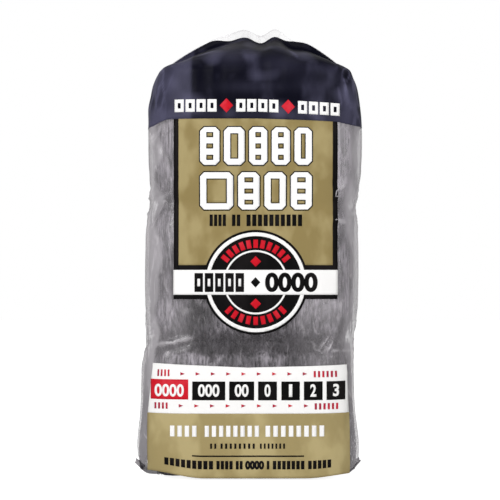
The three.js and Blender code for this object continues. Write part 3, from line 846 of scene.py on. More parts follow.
def film_highlight_lines_group(name):
    """Thin broken lines of crinkled film, which are painted highlights, as a mask."""
    inputs = {"Size": 95.0, "Upright": 0.45, "Width": 0.035}
    tree, given, out = named_tree(name, "ShaderNodeTree", inputs, {"Mask": "NodeSocketFloat"})
    place, tall = upright_place(tree, given)
    off = reckon(tree, "SUBTRACT", texture(tree, tall, given["Size"], 2.0, 0.5), 0.5)
    away = reckon(tree, "ABSOLUTE", off)
    line = spread(tree, away, 0.0, given["Width"], 1.0, 0.0, "SMOOTHSTEP")
    gaps = spread(tree, texture(tree, place, 130.0), 0.42, 0.62)
    plug(tree, out, {"Mask": reckon(tree, "MULTIPLY", line, gaps)})
    return tree


def highlight_patch_group(name):
    """Soft cloudy patches, painted highlights of the glossy film, as a mask."""
    inputs = {"Size": 40.0, "Low": 0.4, "High": 0.7, "Upright": 0.6}
    tree, given, out = named_tree(name, "ShaderNodeTree", inputs, {"Mask": "NodeSocketFloat"})
    values = {"Vector": upright_place(tree, given)[1], "Scale": given["Size"]}
    clouds = add(tree, "ShaderNodeTexNoise", values | {"Detail": 3.0, "Roughness": 0.45})["Fac"]
    mask = spread(tree, clouds, given["Low"], given["High"], kind="SMOOTHSTEP")
    plug(tree, out, {"Mask": mask})
    return tree


def wool_grain_group(name):
    """Fine upright strands of wool, its clumps and its broad shade, as masks."""
    inputs = {"Fine": 800.0, "Coarse": 200.0, "Broad": 46.0}
    masks = dict.fromkeys(("Strands", "Clumps", "Shade"), "NodeSocketFloat")
    tree, given, out = named_tree(name, "ShaderNodeTree", inputs, masks)
    place = add(tree, "ShaderNodeTexCoord")["Object"]
    for size, stretch, detail, mask in (
        ("Fine", (1.0, 1.0, 0.16), 3.0, "Strands"),
        ("Coarse", (0.9, 0.9, 0.55), 4.0, "Clumps"),
        ("Broad", (0.8, 0.8, 1.0), 2.0, "Shade"),
    ):
        tall = add(tree, "ShaderNodeMapping", {"Scale": stretch, "Vector": place})["Vector"]
        plug(tree, out, {mask: texture(tree, tall, given[size], detail, 0.6)})
    return tree


def plain_material(name, roughness, metallic=0.0, specular=0.5):
    """A material with one Principled shader, its tree and the shader's sockets."""
    material = bpy.data.materials.new(name)
    material.use_nodes = True
    tree = material.node_tree
    shader = tree.nodes["Principled BSDF"].inputs
    values = {"Roughness": roughness, "Metallic": metallic, "Specular IOR Level": specular}
    plug(tree, shader, values)
    return material, tree, shader


def cached(name, build, *values, **settings):
    """The material of that name, built once."""
    return bpy.data.materials.get(name) or build(name, *values, **settings)


def film_material(name):
    """Clear film: hazy where it stands off the wool, and milky where it is seen edge on, with
    painted highlights on its creases and along thin crinkle lines.
    """
    look = bpy.context.scene.pack_look
    material, tree, shader = plain_material(name, 0.2)
    facing = add(tree, "ShaderNodeLayerWeight", {"Blend": 0.15})["Facing"]
    alpha = reckon(tree, "MULTIPLY_ADD", facing, look.edge_haze, look.clear_haze)
    # The mesh's stored number brings haze and the painted crease highlights
    haze_and_highlight = stored(tree, "haze_and_highlight")
    alpha = reckon(tree, "MULTIPLY_ADD", haze_and_highlight, look.loose_haze, alpha, clamp=True)
    # Painted highlights: thin bright crinkle lines make the film paler
    lines = shared(tree, "Film Highlight Lines", film_highlight_lines_group)["Mask"]
    alpha = reckon(tree, "MULTIPLY_ADD", lines, look.crinkle_line_highlight, alpha, clamp=True)
    normal = shared(tree, "Film Crinkle", film_crinkle_group, Distance=0.0005)["Normal"]
    values = {"Base Color": (*look.film, 1), "IOR": 1.85, "Normal": normal, "Alpha": alpha}
    plug(tree, shader, values)
    return material


def printed_material(name, dark, light, size=30.0, low=0.4, high=0.7):
    """Ink on film. It pales in soft patches, which are painted highlights of the film, and where the
    mesh's stored number asks, for its paler places and painted highlights.
    """
    material, tree, shader = plain_material(name, 0.42, specular=0.06)
    # Painted highlights: the soft patches and the mesh's stored number pale the ink towards its
    # highlight colour; the number also gives the header's and the band's paler places
    patches = shared(tree, "Painted Highlight Patches", highlight_patch_group, Size=size, Low=low, High=high)["Mask"]
    amount = reckon(tree, "ADD", patches, stored(tree, "haze_and_highlight"))
    normal = shared(tree, "Film Crinkle", film_crinkle_group, Distance=0.0003)["Normal"]
    colour = blend(tree, amount, dark, light, clamp=False)
    plug(tree, shader, {"Base Color": colour, "Normal": normal})
    return material


def wool_material(name, roughness, metallic):
    """Steel wool: fine strands over darker and lighter clumps, scaled by a random tone and by
    painted light and shade that the mesh carries.
    """
    look = bpy.context.scene.pack_look
    material, tree, shader = plain_material(name, roughness, metallic)
    grain = shared(tree, "Wool Grain", wool_grain_group)
    amount = reckon(tree, "MULTIPLY", grain["Strands"], grain["Clumps"])
    colour = blend(tree, spread(tree, amount, 0.15, 0.37), look.wool_dark, look.wool_light)
    shade = spread(tree, grain["Shade"], 0.38, 0.62, 0.5, 1.15)
    # The mesh's stored number brings the random tone and the painted light and shade
    painted_light_and_tone = reckon(tree, "MULTIPLY", shade, stored(tree, "tone_and_painted_light"))
    values = {0: colour, "Scale": painted_light_and_tone}
    shaded = add(tree, "ShaderNodeVectorMath", values, operation="SCALE")["Vector"]
    normal = add(tree, "ShaderNodeBump", {"Distance": 0.0006, "Height": amount})["Normal"]
    plug(tree, shader, {"Base Color": shaded, "Normal": normal})
    return material


def ink(name):
    """One of the inks of the print."""
    look = bpy.context.scene.pack_look
    # Each ink's own colour and its painted highlight colour, which also gives the header's and the
    # band's paler places
    dark, light, values = {
        "white ink": (look.white, look.white, {}),
        "navy ink": (look.navy, look.navy_pale_and_highlight, {"size": 60.0, "low": 0.5, "high": 0.8}),
        "gold ink": (look.gold, look.gold_pale_and_highlight, {"size": 75.0, "low": 0.42, "high": 0.62}),
        "red ink": (look.red, look.red_highlight, {"size": 150.0}),
        "dark red ink": (look.dark_red, look.red_highlight, {"size": 150.0}),
        "black ink": (look.black, look.black_highlight, {"size": 70.0}),
    }[name]
    return cached(name, printed_material, dark, light, **values)


# Geometry node trees


def geometry_tree(name, **inputs):
    """An empty geometry tree with named inputs, a material input and a geometry output."""
    geometry = {"Geometry": "NodeSocketGeometry"}
    inputs = geometry | inputs | {"Material": "NodeSocketMaterial"}
    return named_tree(name, "GeometryNodeTree", inputs, geometry)


def finish_tree(tree, given, out, geometry):
    """Ends a tree in real geometry with its material."""
    real = add(tree, "GeometryNodeRealizeInstances", {"Geometry": geometry})
    values = {"Geometry": real["Geometry"], "Material": given["Material"]}
    plug(tree, out, {"Geometry": add(tree, "GeometryNodeSetMaterial", values)["Geometry"]})
    return tree


def fibre_tree(name):
    """Turns lines into thin three-sided strands that taper towards their end."""
    tree, given, out = geometry_tree(name, Radius=0.0001)
    along = add(tree, "GeometryNodeSplineParameter")["Factor"]
    taper = spread(tree, along, 1.0, 0.5, 0.25, 1.0, "SMOOTHSTEP")
    curves = add(tree, "GeometryNodeMeshToCurve", {"Mesh": given["Geometry"]})["Curve"]
    thick = add(tree, "GeometryNodeSetCurveRadius", {"Curve": curves, "Radius": taper})["Curve"]
    values = {"Resolution": 3, "Radius": given["Radius"]}
    ring = add(tree, "GeometryNodeCurvePrimitiveCircle", values)["Curve"]
    values = {"Curve": thick, "Profile Curve": ring, "Fill Caps": True}
    sweep = add(tree, "GeometryNodeCurveToMesh", values)["Mesh"]
    return finish_tree(tree, given, out, sweep)


def row_tree(name):
    """A row of equal flat marks with a few sides, such as arrows, diamonds or bars."""
    tree, given, out = geometry_tree(
        name, Count=5, Start=(0, 0, 0), Step=(0.01, 0, 0), Sides=4, Turn=0.0, Size=(0.002, 0.002, 1)
    )
    values = {"Count": given["Count"], "Start Location": given["Start"], "Offset": given["Step"]}
    line = add(tree, "GeometryNodeMeshLine", values, mode="OFFSET")["Mesh"]
    values = {"Radius": 1.0, "Vertices": given["Sides"]}
    mark = add(tree, "GeometryNodeMeshCircle", values, fill_type="NGON")["Mesh"]
    turn = add(tree, "ShaderNodeCombineXYZ", {"Z": given["Turn"]})["Vector"]
    turned = add(tree, "GeometryNodeTransform", {"Geometry": mark, "Rotation": turn})["Geometry"]
    values = {"Geometry": turned, "Scale": given["Size"]}
    sized = add(tree, "GeometryNodeTransform", values)["Geometry"]
    copies = add(tree, "GeometryNodeInstanceOnPoints", {"Points": line, "Instance": sized})
    return finish_tree(tree, given, out, copies["Instances"])


def arc_tree(name):
    """Equal flat bars that point to the middle of an arc."""
    tree, given, out = geometry_tree(
        name, Count=9, Middle=(0, 0, 0), Radius=0.02, Start=0.0, Sweep=2.0, Length=0.004, Width=0.001
    )
    values = {
        "Resolution": 64,
        "Radius": given["Radius"],
        "Start Angle": given["Start"],
        "Sweep Angle": given["Sweep"],
    }
    arc = add(tree, "GeometryNodeCurveArc", values)["Curve"]
    values = {"Curve": arc, "Count": given["Count"]}
    points = add(tree, "GeometryNodeCurveToPoints", values, mode="COUNT")["Points"]
    values = {
        "Vertices X": 2, "Vertices Y": 2, "Size X": given["Length"], "Size Y": given["Width"]
    }
    bar = add(tree, "GeometryNodeMeshGrid", values)["Mesh"]
    place = add(tree, "GeometryNodeInputPosition")["Position"]
    turn = add(tree, "FunctionNodeAlignRotationToVector", {"Vector": place}, axis="X")["Rotation"]
    values = {"Points": points, "Instance": bar, "Rotation": turn}
    copies = add(tree, "GeometryNodeInstanceOnPoints", values)["Instances"]
    values = {"Geometry": copies, "Translation": given["Middle"]}
    return finish_tree(tree, given, out, add(tree, "GeometryNodeTransform", values)["Geometry"])


def run_tree(name, build, mesh, **values):
    """Runs a geometry tree on a mesh with its inputs set, and returns the plain mesh it makes."""
    tree = bpy.data.node_groups.get(name) or build(name)
    carrier = linked(name, mesh)
    modifier = carrier.modifiers.new(name, "NODES")
    modifier.node_group = tree
    sockets = {
        item.name: item.identifier
        for item in tree.interface.items_tree
        if item.item_type == "SOCKET" and item.in_out == "INPUT"
    }
    for socket, value in values.items():
        modifier[sockets[socket]] = value
    return real_mesh(carrier)


# Flat shapes of the label, in its own plane


def label_box(low_x, low_z, high_x, high_z):
    """A box of the label, given in millimetres from the pack's middle line."""
    return low_x * MM + ROW_CENTRE, low_z * MM, high_x * MM + ROW_CENTRE, high_z * MM


def rectangle(low_x, low_z, high_x, high_z):
    """The corners of an upright rectangle."""
    return [(low_x, low_z), (high_x, low_z), (high_x, high_z), (low_x, high_z)]


def chamfered(low_x, low_z, high_x, high_z, cut):
    """A rectangle with its corners cut off."""
    return [
        (low_x + cut, low_z),
        (high_x - cut, low_z),
        (high_x, low_z + cut),
        (high_x, high_z - cut),
        (high_x - cut, high_z),
        (low_x + cut, high_z),
        (low_x, high_z - cut),
        (low_x, low_z + cut),
    ]


def round_band(middle, inner, outer, steps):
    """A band between two radii, as quads, or a disc of wedges where the inner radius is 0."""
    x, z = middle
    quads = []
    for step in range(steps):
        (c1, s1), (c2, s2) = (
            (math.cos(ROUND * place / steps), math.sin(ROUND * place / steps))
            for place in (step, step + 1)
        )
        quad = [(x + outer * c1, z + outer * s1), (x + outer * c2, z + outer * s2)]
        if inner:
            quad += [(x + inner * c2, z + inner * s2)]
        quads.append([(x + inner * c1, z + inner * s1), *quad])
    return quads


def flat_mesh(polygons):
    """A bmesh of flat polygons. The label's plane is X and Z, and it faces -Y."""
    work = bmesh.new()
    for polygon in polygons:
        work.faces.new([work.verts.new((x, 0, z)) for x, z in polygon])
    bmesh.ops.remove_doubles(work, verts=work.verts, dist=0.01 * MM)
    return work


def joined(works):
    """One bmesh out of several."""
    total = bmesh.new()
    for work in works:
        mesh = bpy.data.meshes.new("joined")
        work.to_mesh(mesh)
        work.free()
        total.from_mesh(mesh)
        bpy.data.meshes.remove(mesh)
    return total


def marks_mesh(name, build, **values):
    """A bmesh of flat marks from a tree that draws in X and Y, stood up in the label's plane."""
    work = taken_up(run_tree(name, build, bpy.data.meshes.new(name), **values))
    for vertex in work.verts:
        vertex.co = (vertex.co.x, 0, vertex.co.y)
    return work


def row_marks(count, start, step, size, sides=4, turn=0.0):
    """A row of marks, as a flat bmesh of the label."""
    return marks_mesh(
        "Row of Marks",
        row_tree,
        Count=count,
        Start=(*start, 0.0),
        Step=(step, 0.0, 0.0),
        Sides=sides,
        Turn=turn,
        Size=(*size, 1.0),
        Material=ink("black ink"),
    )


def word_marks(words, low_z, high_z, fill):
    """Plain upright bars where words stood. Each word gives its ends in x and its bars."""
    rows = []
    for low_x, high_x, count in words:
        pitch = (high_x - low_x) / count
        start = ((low_x + pitch / 2) * MM + ROW_CENTRE, (low_z + high_z) / 2 * MM)
        size = (pitch * fill * MM / math.sqrt(2), (high_z - low_z) * MM / math.sqrt(2))
        rows.append(row_marks(count, start, pitch * MM, size, turn=math.pi / 4))
    return joined(rows)


def digits_mesh(text, low_x, low_z, high_x, high_z, weight):
    """Plain numerals that fill a box of the label."""
    curve = bpy.data.curves.new("numerals", "FONT")
    curve.body = text
    curve.offset = weight
    curve.resolution_u = 6
    work = taken_up(real_mesh(linked("numerals", curve)))
    xs = [vertex.co.x for vertex in work.verts]
    ys = [vertex.co.y for vertex in work.verts]
    for vertex in work.verts:
        across = (vertex.co.x - min(xs)) / (max(xs) - min(xs))
        up = (vertex.co.y - min(ys)) / (max(ys) - min(ys))
        vertex.co = (low_x + across * (high_x - low_x), 0, low_z + up * (high_z - low_z))
    bmesh.ops.remove_doubles(work, verts=work.verts, dist=0.005 * MM)
    return work


def numeral_box(low_x, high_x, text):
    """The box of some numerals in the middle of a box of the scale."""
    width = len(text) * NUMERAL_WIDTH + (len(text) - 1) * NUMERAL_GAP
    if text == "1":
        width *= 0.55
    middle = (low_x + high_x) / 2
    return label_box(middle - width / 2, NUMERAL_FROM, middle + width / 2, NUMERAL_TO)


def title_layers():
    """Layers of the title blocks: outline, white, and the outline and gold of their holes."""
    outlines, whites, hole_lines, holes = [], [], [], []
    inset = np.array([1, 1, -1, -1]) * BLOCK_OUTLINE
    for low_z, high_z, gap, blocks in TITLE_ROWS:
        x = TITLE_FROM
        for width, count in blocks:
            box = np.array(label_box(x, low_z, x + width, high_z))
            outlines.append(chamfered(*box, 2.3 * MM))
            whites.append(chamfered(*(box + inset), 2.0 * MM))
            bar = BLOCK_STROKE if count == 1 else BLOCK_BAR
            height = (high_z - low_z - (count + 1) * bar) / count
            for index in range(count):
                low = low_z + bar + index * (height + bar)
                sides = (x + BLOCK_STROKE, x + width - BLOCK_STROKE)
                hole = np.array(label_box(sides[0], low, sides[1], low + height))
                hole_lines.append(rectangle(*hole))
                holes.append(rectangle(*(hole + inset * 0.9)))
            x += width + gap
    return (
        ("block_outlines", outlines, 2.2, "black ink"),
        ("block_fills", whites, 3.3, "white ink"),
        ("block_hole_lines", hole_lines, 4.4, "black ink"),
        ("block_holes", holes, 5.5, "gold ink"),
    )


def cut_evenly(work, step):
    """Cuts flat faces along an even grid, so that they can follow the film."""
    for axis in (0, 2):
        values = [vertex.co[axis] for vertex in work.verts]
        first = math.ceil(min(values) / step)
        last = math.floor(max(values) / step)
        for line in range(first, last + 1):
            place, normal = Vector((0, 0, 0)), Vector((0, 0, 0))
            place[axis] = line * step
            normal[axis] = 1
            geometry = work.verts[:] + work.edges[:] + work.faces[:]
            bmesh.ops.bisect_plane(work, geom=geometry, plane_co=place, plane_no=normal)


def label_droop(places):
    """How far the print hangs lower at the right of the header."""
    right = np.clip((places[:, 0] - 5 * MM) / (42 * MM), 0, 1)
    return LABEL_DROOP * right * smooth(172 * MM, 186 * MM, places[:, 2])


def label_piece(name, work, layer, colour, nodes=(), haze_and_highlight=0.0):
    """Lays a flat mesh of the label on the wrinkled front, and hands it over as a thin piece."""
    cut_evenly(work, LABEL_STEP)
    places = np.array([vertex.co for vertex in work.verts])
    lift = layer * bpy.context.scene.pack_sizes.ink_lift
    wrapped = front_points(places[:, 0], places[:, 2] - label_droop(places), lift)
    for vertex, place in zip(work.verts, wrapped):
        vertex.co = place
    for face in work.faces:
        face.normal_update()
        if face.normal.y > 0:
            face.normal_flip()
        face.smooth = True
    mesh = bpy.data.meshes.new(name)
    work.to_mesh(mesh)
    work.free()
    mesh.materials.append(ink(colour))
    set_values(mesh, "haze_and_highlight", np.full(len(mesh.vertices), haze_and_highlight))
    piece = linked(name, mesh)
    thicken(piece, INK_THICKNESS)
    hand_over(piece, colour.removeprefix("dark ").replace(" ", "_"), *nodes)


# Shape of a wool pad


def packed_depth(across):
    """How much of its depth the stack keeps at a distance from its middle."""
    return other_way(np.abs(across) / (PAD_WIDTH / 2 + SIDE_EASE - SIDE_PINCH / 2))


def roll_outline(place):
    """The roll's outline, as seen along its axis, at places of 0 to 1 round it."""
    wound = ROLL_SIDES / (ROLL_SIDES - 1)
    half = np.array([PAD_THICKNESS, PAD_HEIGHT]) / 2

    def raw(share):
        angle = LAP_ANGLE + ROUND * (1 - LAP_WIDTH) * share
        sunk = LAP_STEP * share
        return np.stack(
            section_point(angle, half[0] - sunk, half[1] - sunk, PAD_SQUARENESS, CROWDING), axis=-1
        )

    place = np.mod(place, 1)
    outline = raw(np.minimum(place * wound, 1))
    lap = smooth(0, 1, (place - 1 / wound) / (1 - 1 / wound))[:, None]
    outline = outline * (1 - lap) + raw(np.zeros_like(place)) * lap
    sample = raw(np.linspace(0, 1, ROLL_SIDES))
    low, high = sample.min(axis=0), sample.max(axis=0)
    return (outline - (low + high) / 2) / (high - low) * 2 * half


def drawn_in(outline, share):
    """The outline at the rounded end of a pad."""
    ends = np.array([PAD_END_THICKNESS / PAD_THICKNESS, PAD_END_HEIGHT / PAD_HEIGHT])
    return outline * (1 - 2 * share * ends)


def pad_ring(x, outline):
    """Points of a pad at places along its axis."""
    return np.stack([x + 0 * outline[:, 0], outline[:, 0], outline[:, 1]], axis=-1)


def cap_point(place, inward, end):
    """Points on one end of a pad, where the ribbon's edge winds in to the core."""
    rim = drawn_in(roll_outline(place), 1 - math.sin(PAD_EDGE_FROM * math.pi / 2))
    turns = ROLL_TURNS * inward - FIRST_VALLEY - place
    ridge = 0.5 - 0.5 * np.cos(ROUND * turns)
    ridge = ridge**0.8 * smooth(0.02, 0.1, inward) * (1 - smooth(0.92, 1, inward))
    x = end * (PAD_WIDTH / 2 - TURN_RIDGE + TURN_RIDGE * ridge)
    return pad_ring(x, rim * (1 - inward)[:, None])


def pad_surface():
    """Rings of points over a whole pad, from the core of one end to that of the other."""
    place = np.arange(PAD_SIDES) / PAD_SIDES

    def cap_rings(end):
        steps = np.arange(1, PAD_CAP_RINGS + 1) / PAD_CAP_RINGS
        return [cap_point(place, np.full(PAD_SIDES, CORE_AT * step), end) for step in steps]

    edge = []
    for bend in np.linspace(PAD_EDGE_FROM, 1, PAD_EDGE_RINGS):
        turn = bend * math.pi / 2
        back = PAD_END_LENGTH * (1 - math.cos(turn))
        edge.append((PAD_WIDTH / 2 - TURN_RIDGE - back, 1 - math.sin(turn)))
    reach = edge[-1][0]
    body = [(x, 0.0) for x in np.linspace(-reach, reach, PAD_BODY_RINGS)[1:-1]]
    stations = [(-x, share) for x, share in edge] + body + edge[::-1]
    outline = roll_outline(place)
    middle = [pad_ring(x, drawn_in(outline, share)) for x, share in stations]
    return np.array(cap_rings(-1)[::-1] + middle + cap_rings(1))


def turned_at(row, layer):
    """1 or -1: every second pad is turned over."""
    return -1 if (row + layer) % 2 else 1


def pad_place(points, row, layer):
    """Moves points of a pad from its own middle to its place in the stack."""
    turned = turned_at(row, layer)
    centre_y = (layer - (len(LAYERS) - 1) / 2) * LAYER_PITCH
    centre_z = STACK_BOTTOM + row * ROW_PITCH + PAD_HEIGHT / 2
    x, y, z = points.reshape(-1, 3).T
    placed = [
        x + ROW_CENTRE + ROW_LEAN * row,
        (centre_y + turned * y) * packed_depth(x),
        centre_z + turned * z,
    ]
    return np.stack(placed, axis=-1).reshape(points.shape)


def wool_relief(points):
    """How far the uneven wool stands out of the pad's outline, or sinks in."""
    clumps = cloud(points, CLUMP_NOISE)
    streaks = cloud(points, STRAND_NOISE)
    relief = -WOOL_CLUMP * (0.2 + clumps) - WOOL_STREAK * (0.2 + streaks)
    return np.minimum(relief, WOOL_HIGHEST)


def wool_tone_and_painted_light(points):
    """How light the wool is at each point: a random tone, with painted shade where the rows meet, in
    the pinches and low at the left, and painted light at the sides.
    """
    x, _, z = points.T
    tone_and_painted_light = 1 + 0.35 * cloud(points, TONE_NOISE) + spots(x - ROW_CENTRE, z, WOOL_PAINTED_LIGHT_AND_SHADE)
    return np.clip(tone_and_painted_light, 0.15, 2)


# Loose strands of wool


def kept_inside(line, shy):
    """A line of points drawn in sideways, so that it stays inside the bag by a distance."""
    x, y, z = line.T
    half_width, half_depth, centre = wall_section(np.minimum(z, SHOULDER))
    reach = half_width * other_way(np.minimum(np.abs(y / half_depth), 0.99)) - shy
    return np.stack([centre + np.clip(x - centre, -reach, reach), y, z], axis=-1)


def tuft_lines(joint, generator):
    """Loose strands in the gaps between two rows, at both sides and on both faces."""
    joint_z = STACK_BOTTOM + joint * ROW_PITCH
    middle = ROW_CENTRE + ROW_LEAN * (joint - 0.5)
    share = np.linspace(-0.5, 0.5, STRAND_STEPS)
    lines = []
    for end in (-1, 1):
        for _ in range(TUFT_AT_SIDE):
            tilt = generator.uniform(-1.1, 1.1)
            length = generator.uniform(7, 18) * MM
            z = generator.normal(0, 3.2 * MM) + length * share * math.cos(tilt)
            z = np.clip(z, -PAD_END_HEIGHT, PAD_END_HEIGHT)
            out = PAD_WIDTH / 2 - generator.uniform(0, 1) ** 1.5 * PAD_END_LENGTH * 1.3
            x = out + length * share * math.sin(tilt) + generator.normal(0, 0.3 * MM, STRAND_STEPS)
            notch = TUFT_NOTCH * (1 - np.abs(z) / PAD_END_HEIGHT) ** 2
            x = np.minimum(x, PAD_WIDTH / 2 - 0.6 * MM - notch)
            y = generator.uniform(-0.85, 0.85) * STACK_HALF_DEPTH
            if generator.uniform(0, 1) < TUFT_IN_VALLEYS:
                y = (generator.integers(1, len(LAYERS)) - len(LAYERS) / 2) * LAYER_PITCH
            y = y + length * share * generator.uniform(-0.3, 0.3)
            line = np.stack([middle + end * x, y, joint_z + z], axis=-1)
            lines.append(kept_inside(line, 1.3 * MM))
    for face in (-1, 1):
        for _ in range(TUFT_ON_FACE):
            tilt = generator.uniform(-0.9, 0.9)
            length = generator.uniform(7, 20) * MM
            z = joint_z + generator.normal(0, 2.2 * MM) + length * share * math.cos(tilt)
            x = generator.uniform(-0.9, 0.9) * PAD_WIDTH / 2
            x = x + length * share * math.sin(tilt) + generator.normal(0, 0.3 * MM, STRAND_STEPS)
            half_width, half_depth, _ = wall_section(z)
            depth = half_depth * other_way(np.minimum(np.abs(x / half_width), 0.98))
            depth = depth - generator.uniform(1.3, 2.6) * MM
            lines.append(np.stack([middle + x, face * depth, z], axis=-1))
    return np.array(lines)


def fringe_lines(row, generator):
    """Loose strands that stand out of the valleys between the pads, at both ends of a row."""
    low = STACK_BOTTOM + row * ROW_PITCH
    middle = ROW_CENTRE + ROW_LEAN * row
    share = np.linspace(-0.5, 0.5, STRAND_STEPS)
    lines = []
    for end in (-1, 1):
        for valley in range(1, len(LAYERS)):
            valley_y = (valley - len(LAYERS) / 2) * LAYER_PITCH
            for _ in range(FRINGE_COUNT if row else FRINGE_COUNT_LOW[end]):
                length = generator.uniform(8, 22) * MM
                z = low + generator.uniform(0.08, 0.92) * PAD_HEIGHT + length * share
                z = np.clip(z, low + 2 * MM, min(low + PAD_HEIGHT, FRINGE_TOP))
                half_width, _, centre = wall_section(z)
                room = half_width + end * (centre - middle) - PAD_WIDTH / 2 - 1.5 * MM
                short = (end == FRINGE_SHORT[0]) & (z > FRINGE_SHORT[1]) & (z < FRINGE_SHORT[2])
                room = np.maximum(np.where(short, 0.3 * room, room), 0)
                far = generator.uniform(0, 1)
                out = (0.95 * far - 0.4 if row else (0.9 if end > 0 else 1) * far**0.5) * room
                wander = generator.normal(0, 0.25 * MM, STRAND_STEPS)
                x = PAD_WIDTH / 2 + np.minimum(out + wander, room)
                y = valley_y + generator.normal(0, 1.4 * MM) + wander
                line = np.stack([middle + end * x, y, z], axis=-1)
                lines.append(kept_inside(line, 1.2 * MM))
    return np.array(lines)


def strand_lines(row, layer, count, generator):
    """Lines along the wool's strands, on the outer face of a pad and on both its ends."""
    outer_side = -1 if layer < len(LAYERS) / 2 else 1
    lines = []
    reach = PAD_WIDTH / 2 - PAD_END_LENGTH * 0.7
    face_count = count if layer in (0, len(LAYERS) - 1) else 0
    girth = 2 * (PAD_HEIGHT + PAD_THICKNESS) * 0.92
    share = np.linspace(0, 1, STRAND_STEPS) - 0.5
    while len(lines) < face_count:
        start = generator.uniform(0, 1)
        middle = roll_outline(np.array([start]))[0]
        if middle[0] * turned_at(row, layer) * outer_side < PAD_THICKNESS * 0.2:
            continue
        length = generator.uniform(9, 34) * MM / girth
        drift = np.cumsum(generator.normal(0, 0.55 * MM, STRAND_STEPS))
        x = np.clip(generator.uniform(-reach, reach) + drift, -reach, reach)
        height = generator.uniform(-0.35, 0.15) * MM
        outline = roll_outline(start + length * share)
        grown = 1 + 2 * height / np.array([PAD_THICKNESS, PAD_HEIGHT])
        lines.append(pad_ring(x, outline * grown))
    for end in (-1, 1):
        for _ in range(count // CAP_SHARE):
            start = generator.uniform(0, 1)
            depth = generator.uniform(0.06, 0.9)
            length = generator.uniform(4, 12) * MM / (girth * (1.05 - depth))
            inward = np.clip(depth + length * share / ROLL_TURNS, 0.04, 0.97)
            inward = inward + generator.uniform(-0.03, 0.03) * share
            line = cap_point(np.mod(start + length * share, 1), inward, end)
            line[:, 0] += end * generator.uniform(0.0, 0.35) * MM
            lines.append(line)
    return np.array(lines)


def draw_strands(name, lines, material):
    """Makes a piece of thin strands out of lines of points."""
    count, steps = lines.shape[:2]
    edges = [
        (line * steps + step, line * steps + step + 1)
        for line in range(count)
        for step in range(steps - 1)
    ]
    mesh = bpy.data.meshes.new("strands")
    mesh.from_pydata([tuple(point) for point in lines.reshape(-1, 3)], edges, [])
    radius = bpy.context.scene.pack_sizes.fibre_radius
    made = run_tree("Wool Fibres", fibre_tree, mesh, Radius=radius, Material=material)
    made.name = name
    set_values(made, "tone_and_painted_light", wool_tone_and_painted_light(np.array([vertex.co for vertex in made.vertices])))
    hand_over(linked(name, made), "steel_wool")


# What a user would change


def colour_property(name, description, *channels):
    """A colour that a user can pick, with a default of 0 to 255."""
    return FloatVectorProperty(
        name=name, description=description, subtype="COLOR", min=0, max=1, default=linear(*channels)
    )


def length_property(name, description, default):
    """A length that a user can set."""
    return FloatProperty(
        name=name, description=description, default=default, unit="LENGTH", precision=5
    )


class PackSizes(bpy.types.PropertyGroup):
    """Sizes of the pack's dressing."""

    fibre_radius: length_property("Fibre radius", "Radius of a drawn strand of wool", 0.11 * MM)
    fibre_count: IntProperty(
        name="Fibres", description="Strands drawn on the face of a pad", default=850, min=0
    )
    badge_radius: length_property("Badge radius", "Radius of the round badge", 26.2 * MM)
    ink_lift: length_property("Ink lift", "Height of a layer of print above the last", 0.11 * MM)


class PackLook(bpy.types.PropertyGroup):
    """Colours and haze of the pack."""

    # Colour of the film's haze and of its painted highlights
    film: colour_property("Film", "Colour of the film's haze", 205, 200, 205)
    wool_dark: colour_property("Wool shade", "Wool between strands", 34, 32, 37)
    wool_light: colour_property("Wool", "Lit strands of wool", 172, 166, 174)
    navy: colour_property("Header", "Ink of the header", 5, 5, 20)
    # Painted highlight colour of the header, also its paler places
    navy_pale_and_highlight: colour_property("Header patches", "Hazy patches of the header", 64, 63, 82)
    gold: colour_property("Label", "Ink of the label", 146, 129, 84)
    # Painted highlight colour of the label, also the base band's paler gold
    gold_pale_and_highlight: colour_property("Label patches", "Lighter patches", 169, 153, 108)
    black: colour_property("Black", "Black ink", 10, 9, 10)
    # Painted highlight colour of black ink
    black_highlight: colour_property("Black patches", "Hazy black ink", 24, 21, 22)
    red: colour_property("Red", "Red ink", 206, 24, 40)
    # Painted highlight colour of the red inks
    red_highlight: colour_property("Red patches", "Lighter red", 216, 52, 66)
    dark_red: colour_property("Dark red", "Ink of the arrows", 172, 38, 66)
    white: colour_property("White", "White ink", 252, 251, 250)
    clear_haze: FloatProperty(
        name="Clear haze", description="Haze of film that lies on the wool", default=0.07
    )
    edge_haze: FloatProperty(
        name="Edge haze", description="Haze of film that is seen edge on", default=0.6
    )
    # Strength of the painted highlights along the film's crinkle lines
    crinkle_line_highlight: FloatProperty(
        name="Line haze", description="Haze of the film's fine crinkle lines", default=0.22
    )
    loose_haze: FloatProperty(
        name="Loose haze", description="Haze of film that stands off the wool", default=0.5
    )


# Operators, one for each piece or group of pieces


class PACK_OT_film_bag(bpy.types.Operator):
    """Makes the wrinkled film bag"""

    bl_idname = "pack.film_bag"
    bl_label = "Film Bag"

    def execute(self, context):
        rings = bag_rings()
        shaped = wrinkled(rings, grid_normals(rings))
        centre = np.array([ROW_CENTRE, 0, SEAL_LIP])
        shares = np.arange(1, BASE_RINGS + 1) / (BASE_RINGS + 1)
        base = [centre + (shaped[0] - centre) * share for share in shares]
        points = np.concatenate([np.array(base), shaped]).reshape(-1, 3)
        faces = ring_faces(BASE_RINGS + len(shaped), FILM_SIDES)
        faces += [(len(points), (side + 1) % FILM_SIDES, side) for side in range(FILM_SIDES)]
        vertices = np.concatenate([points, centre[None]])
        material = cached("clear film", film_material)
        piece = new_object("film_bag_wrinkled", vertices, faces, material)
        relief = np.zeros(len(vertices))
        relief[BASE_RINGS * FILM_SIDES : -1] = film_relief(rings.reshape(-1, 3))
        set_values(piece.data, "haze_and_highlight", film_haze_and_highlights(vertices, relief))
        face_outwards(piece, merge=0.02 * MM)
        hand_over(piece, "film", "film_bag")
        return {"FINISHED"}


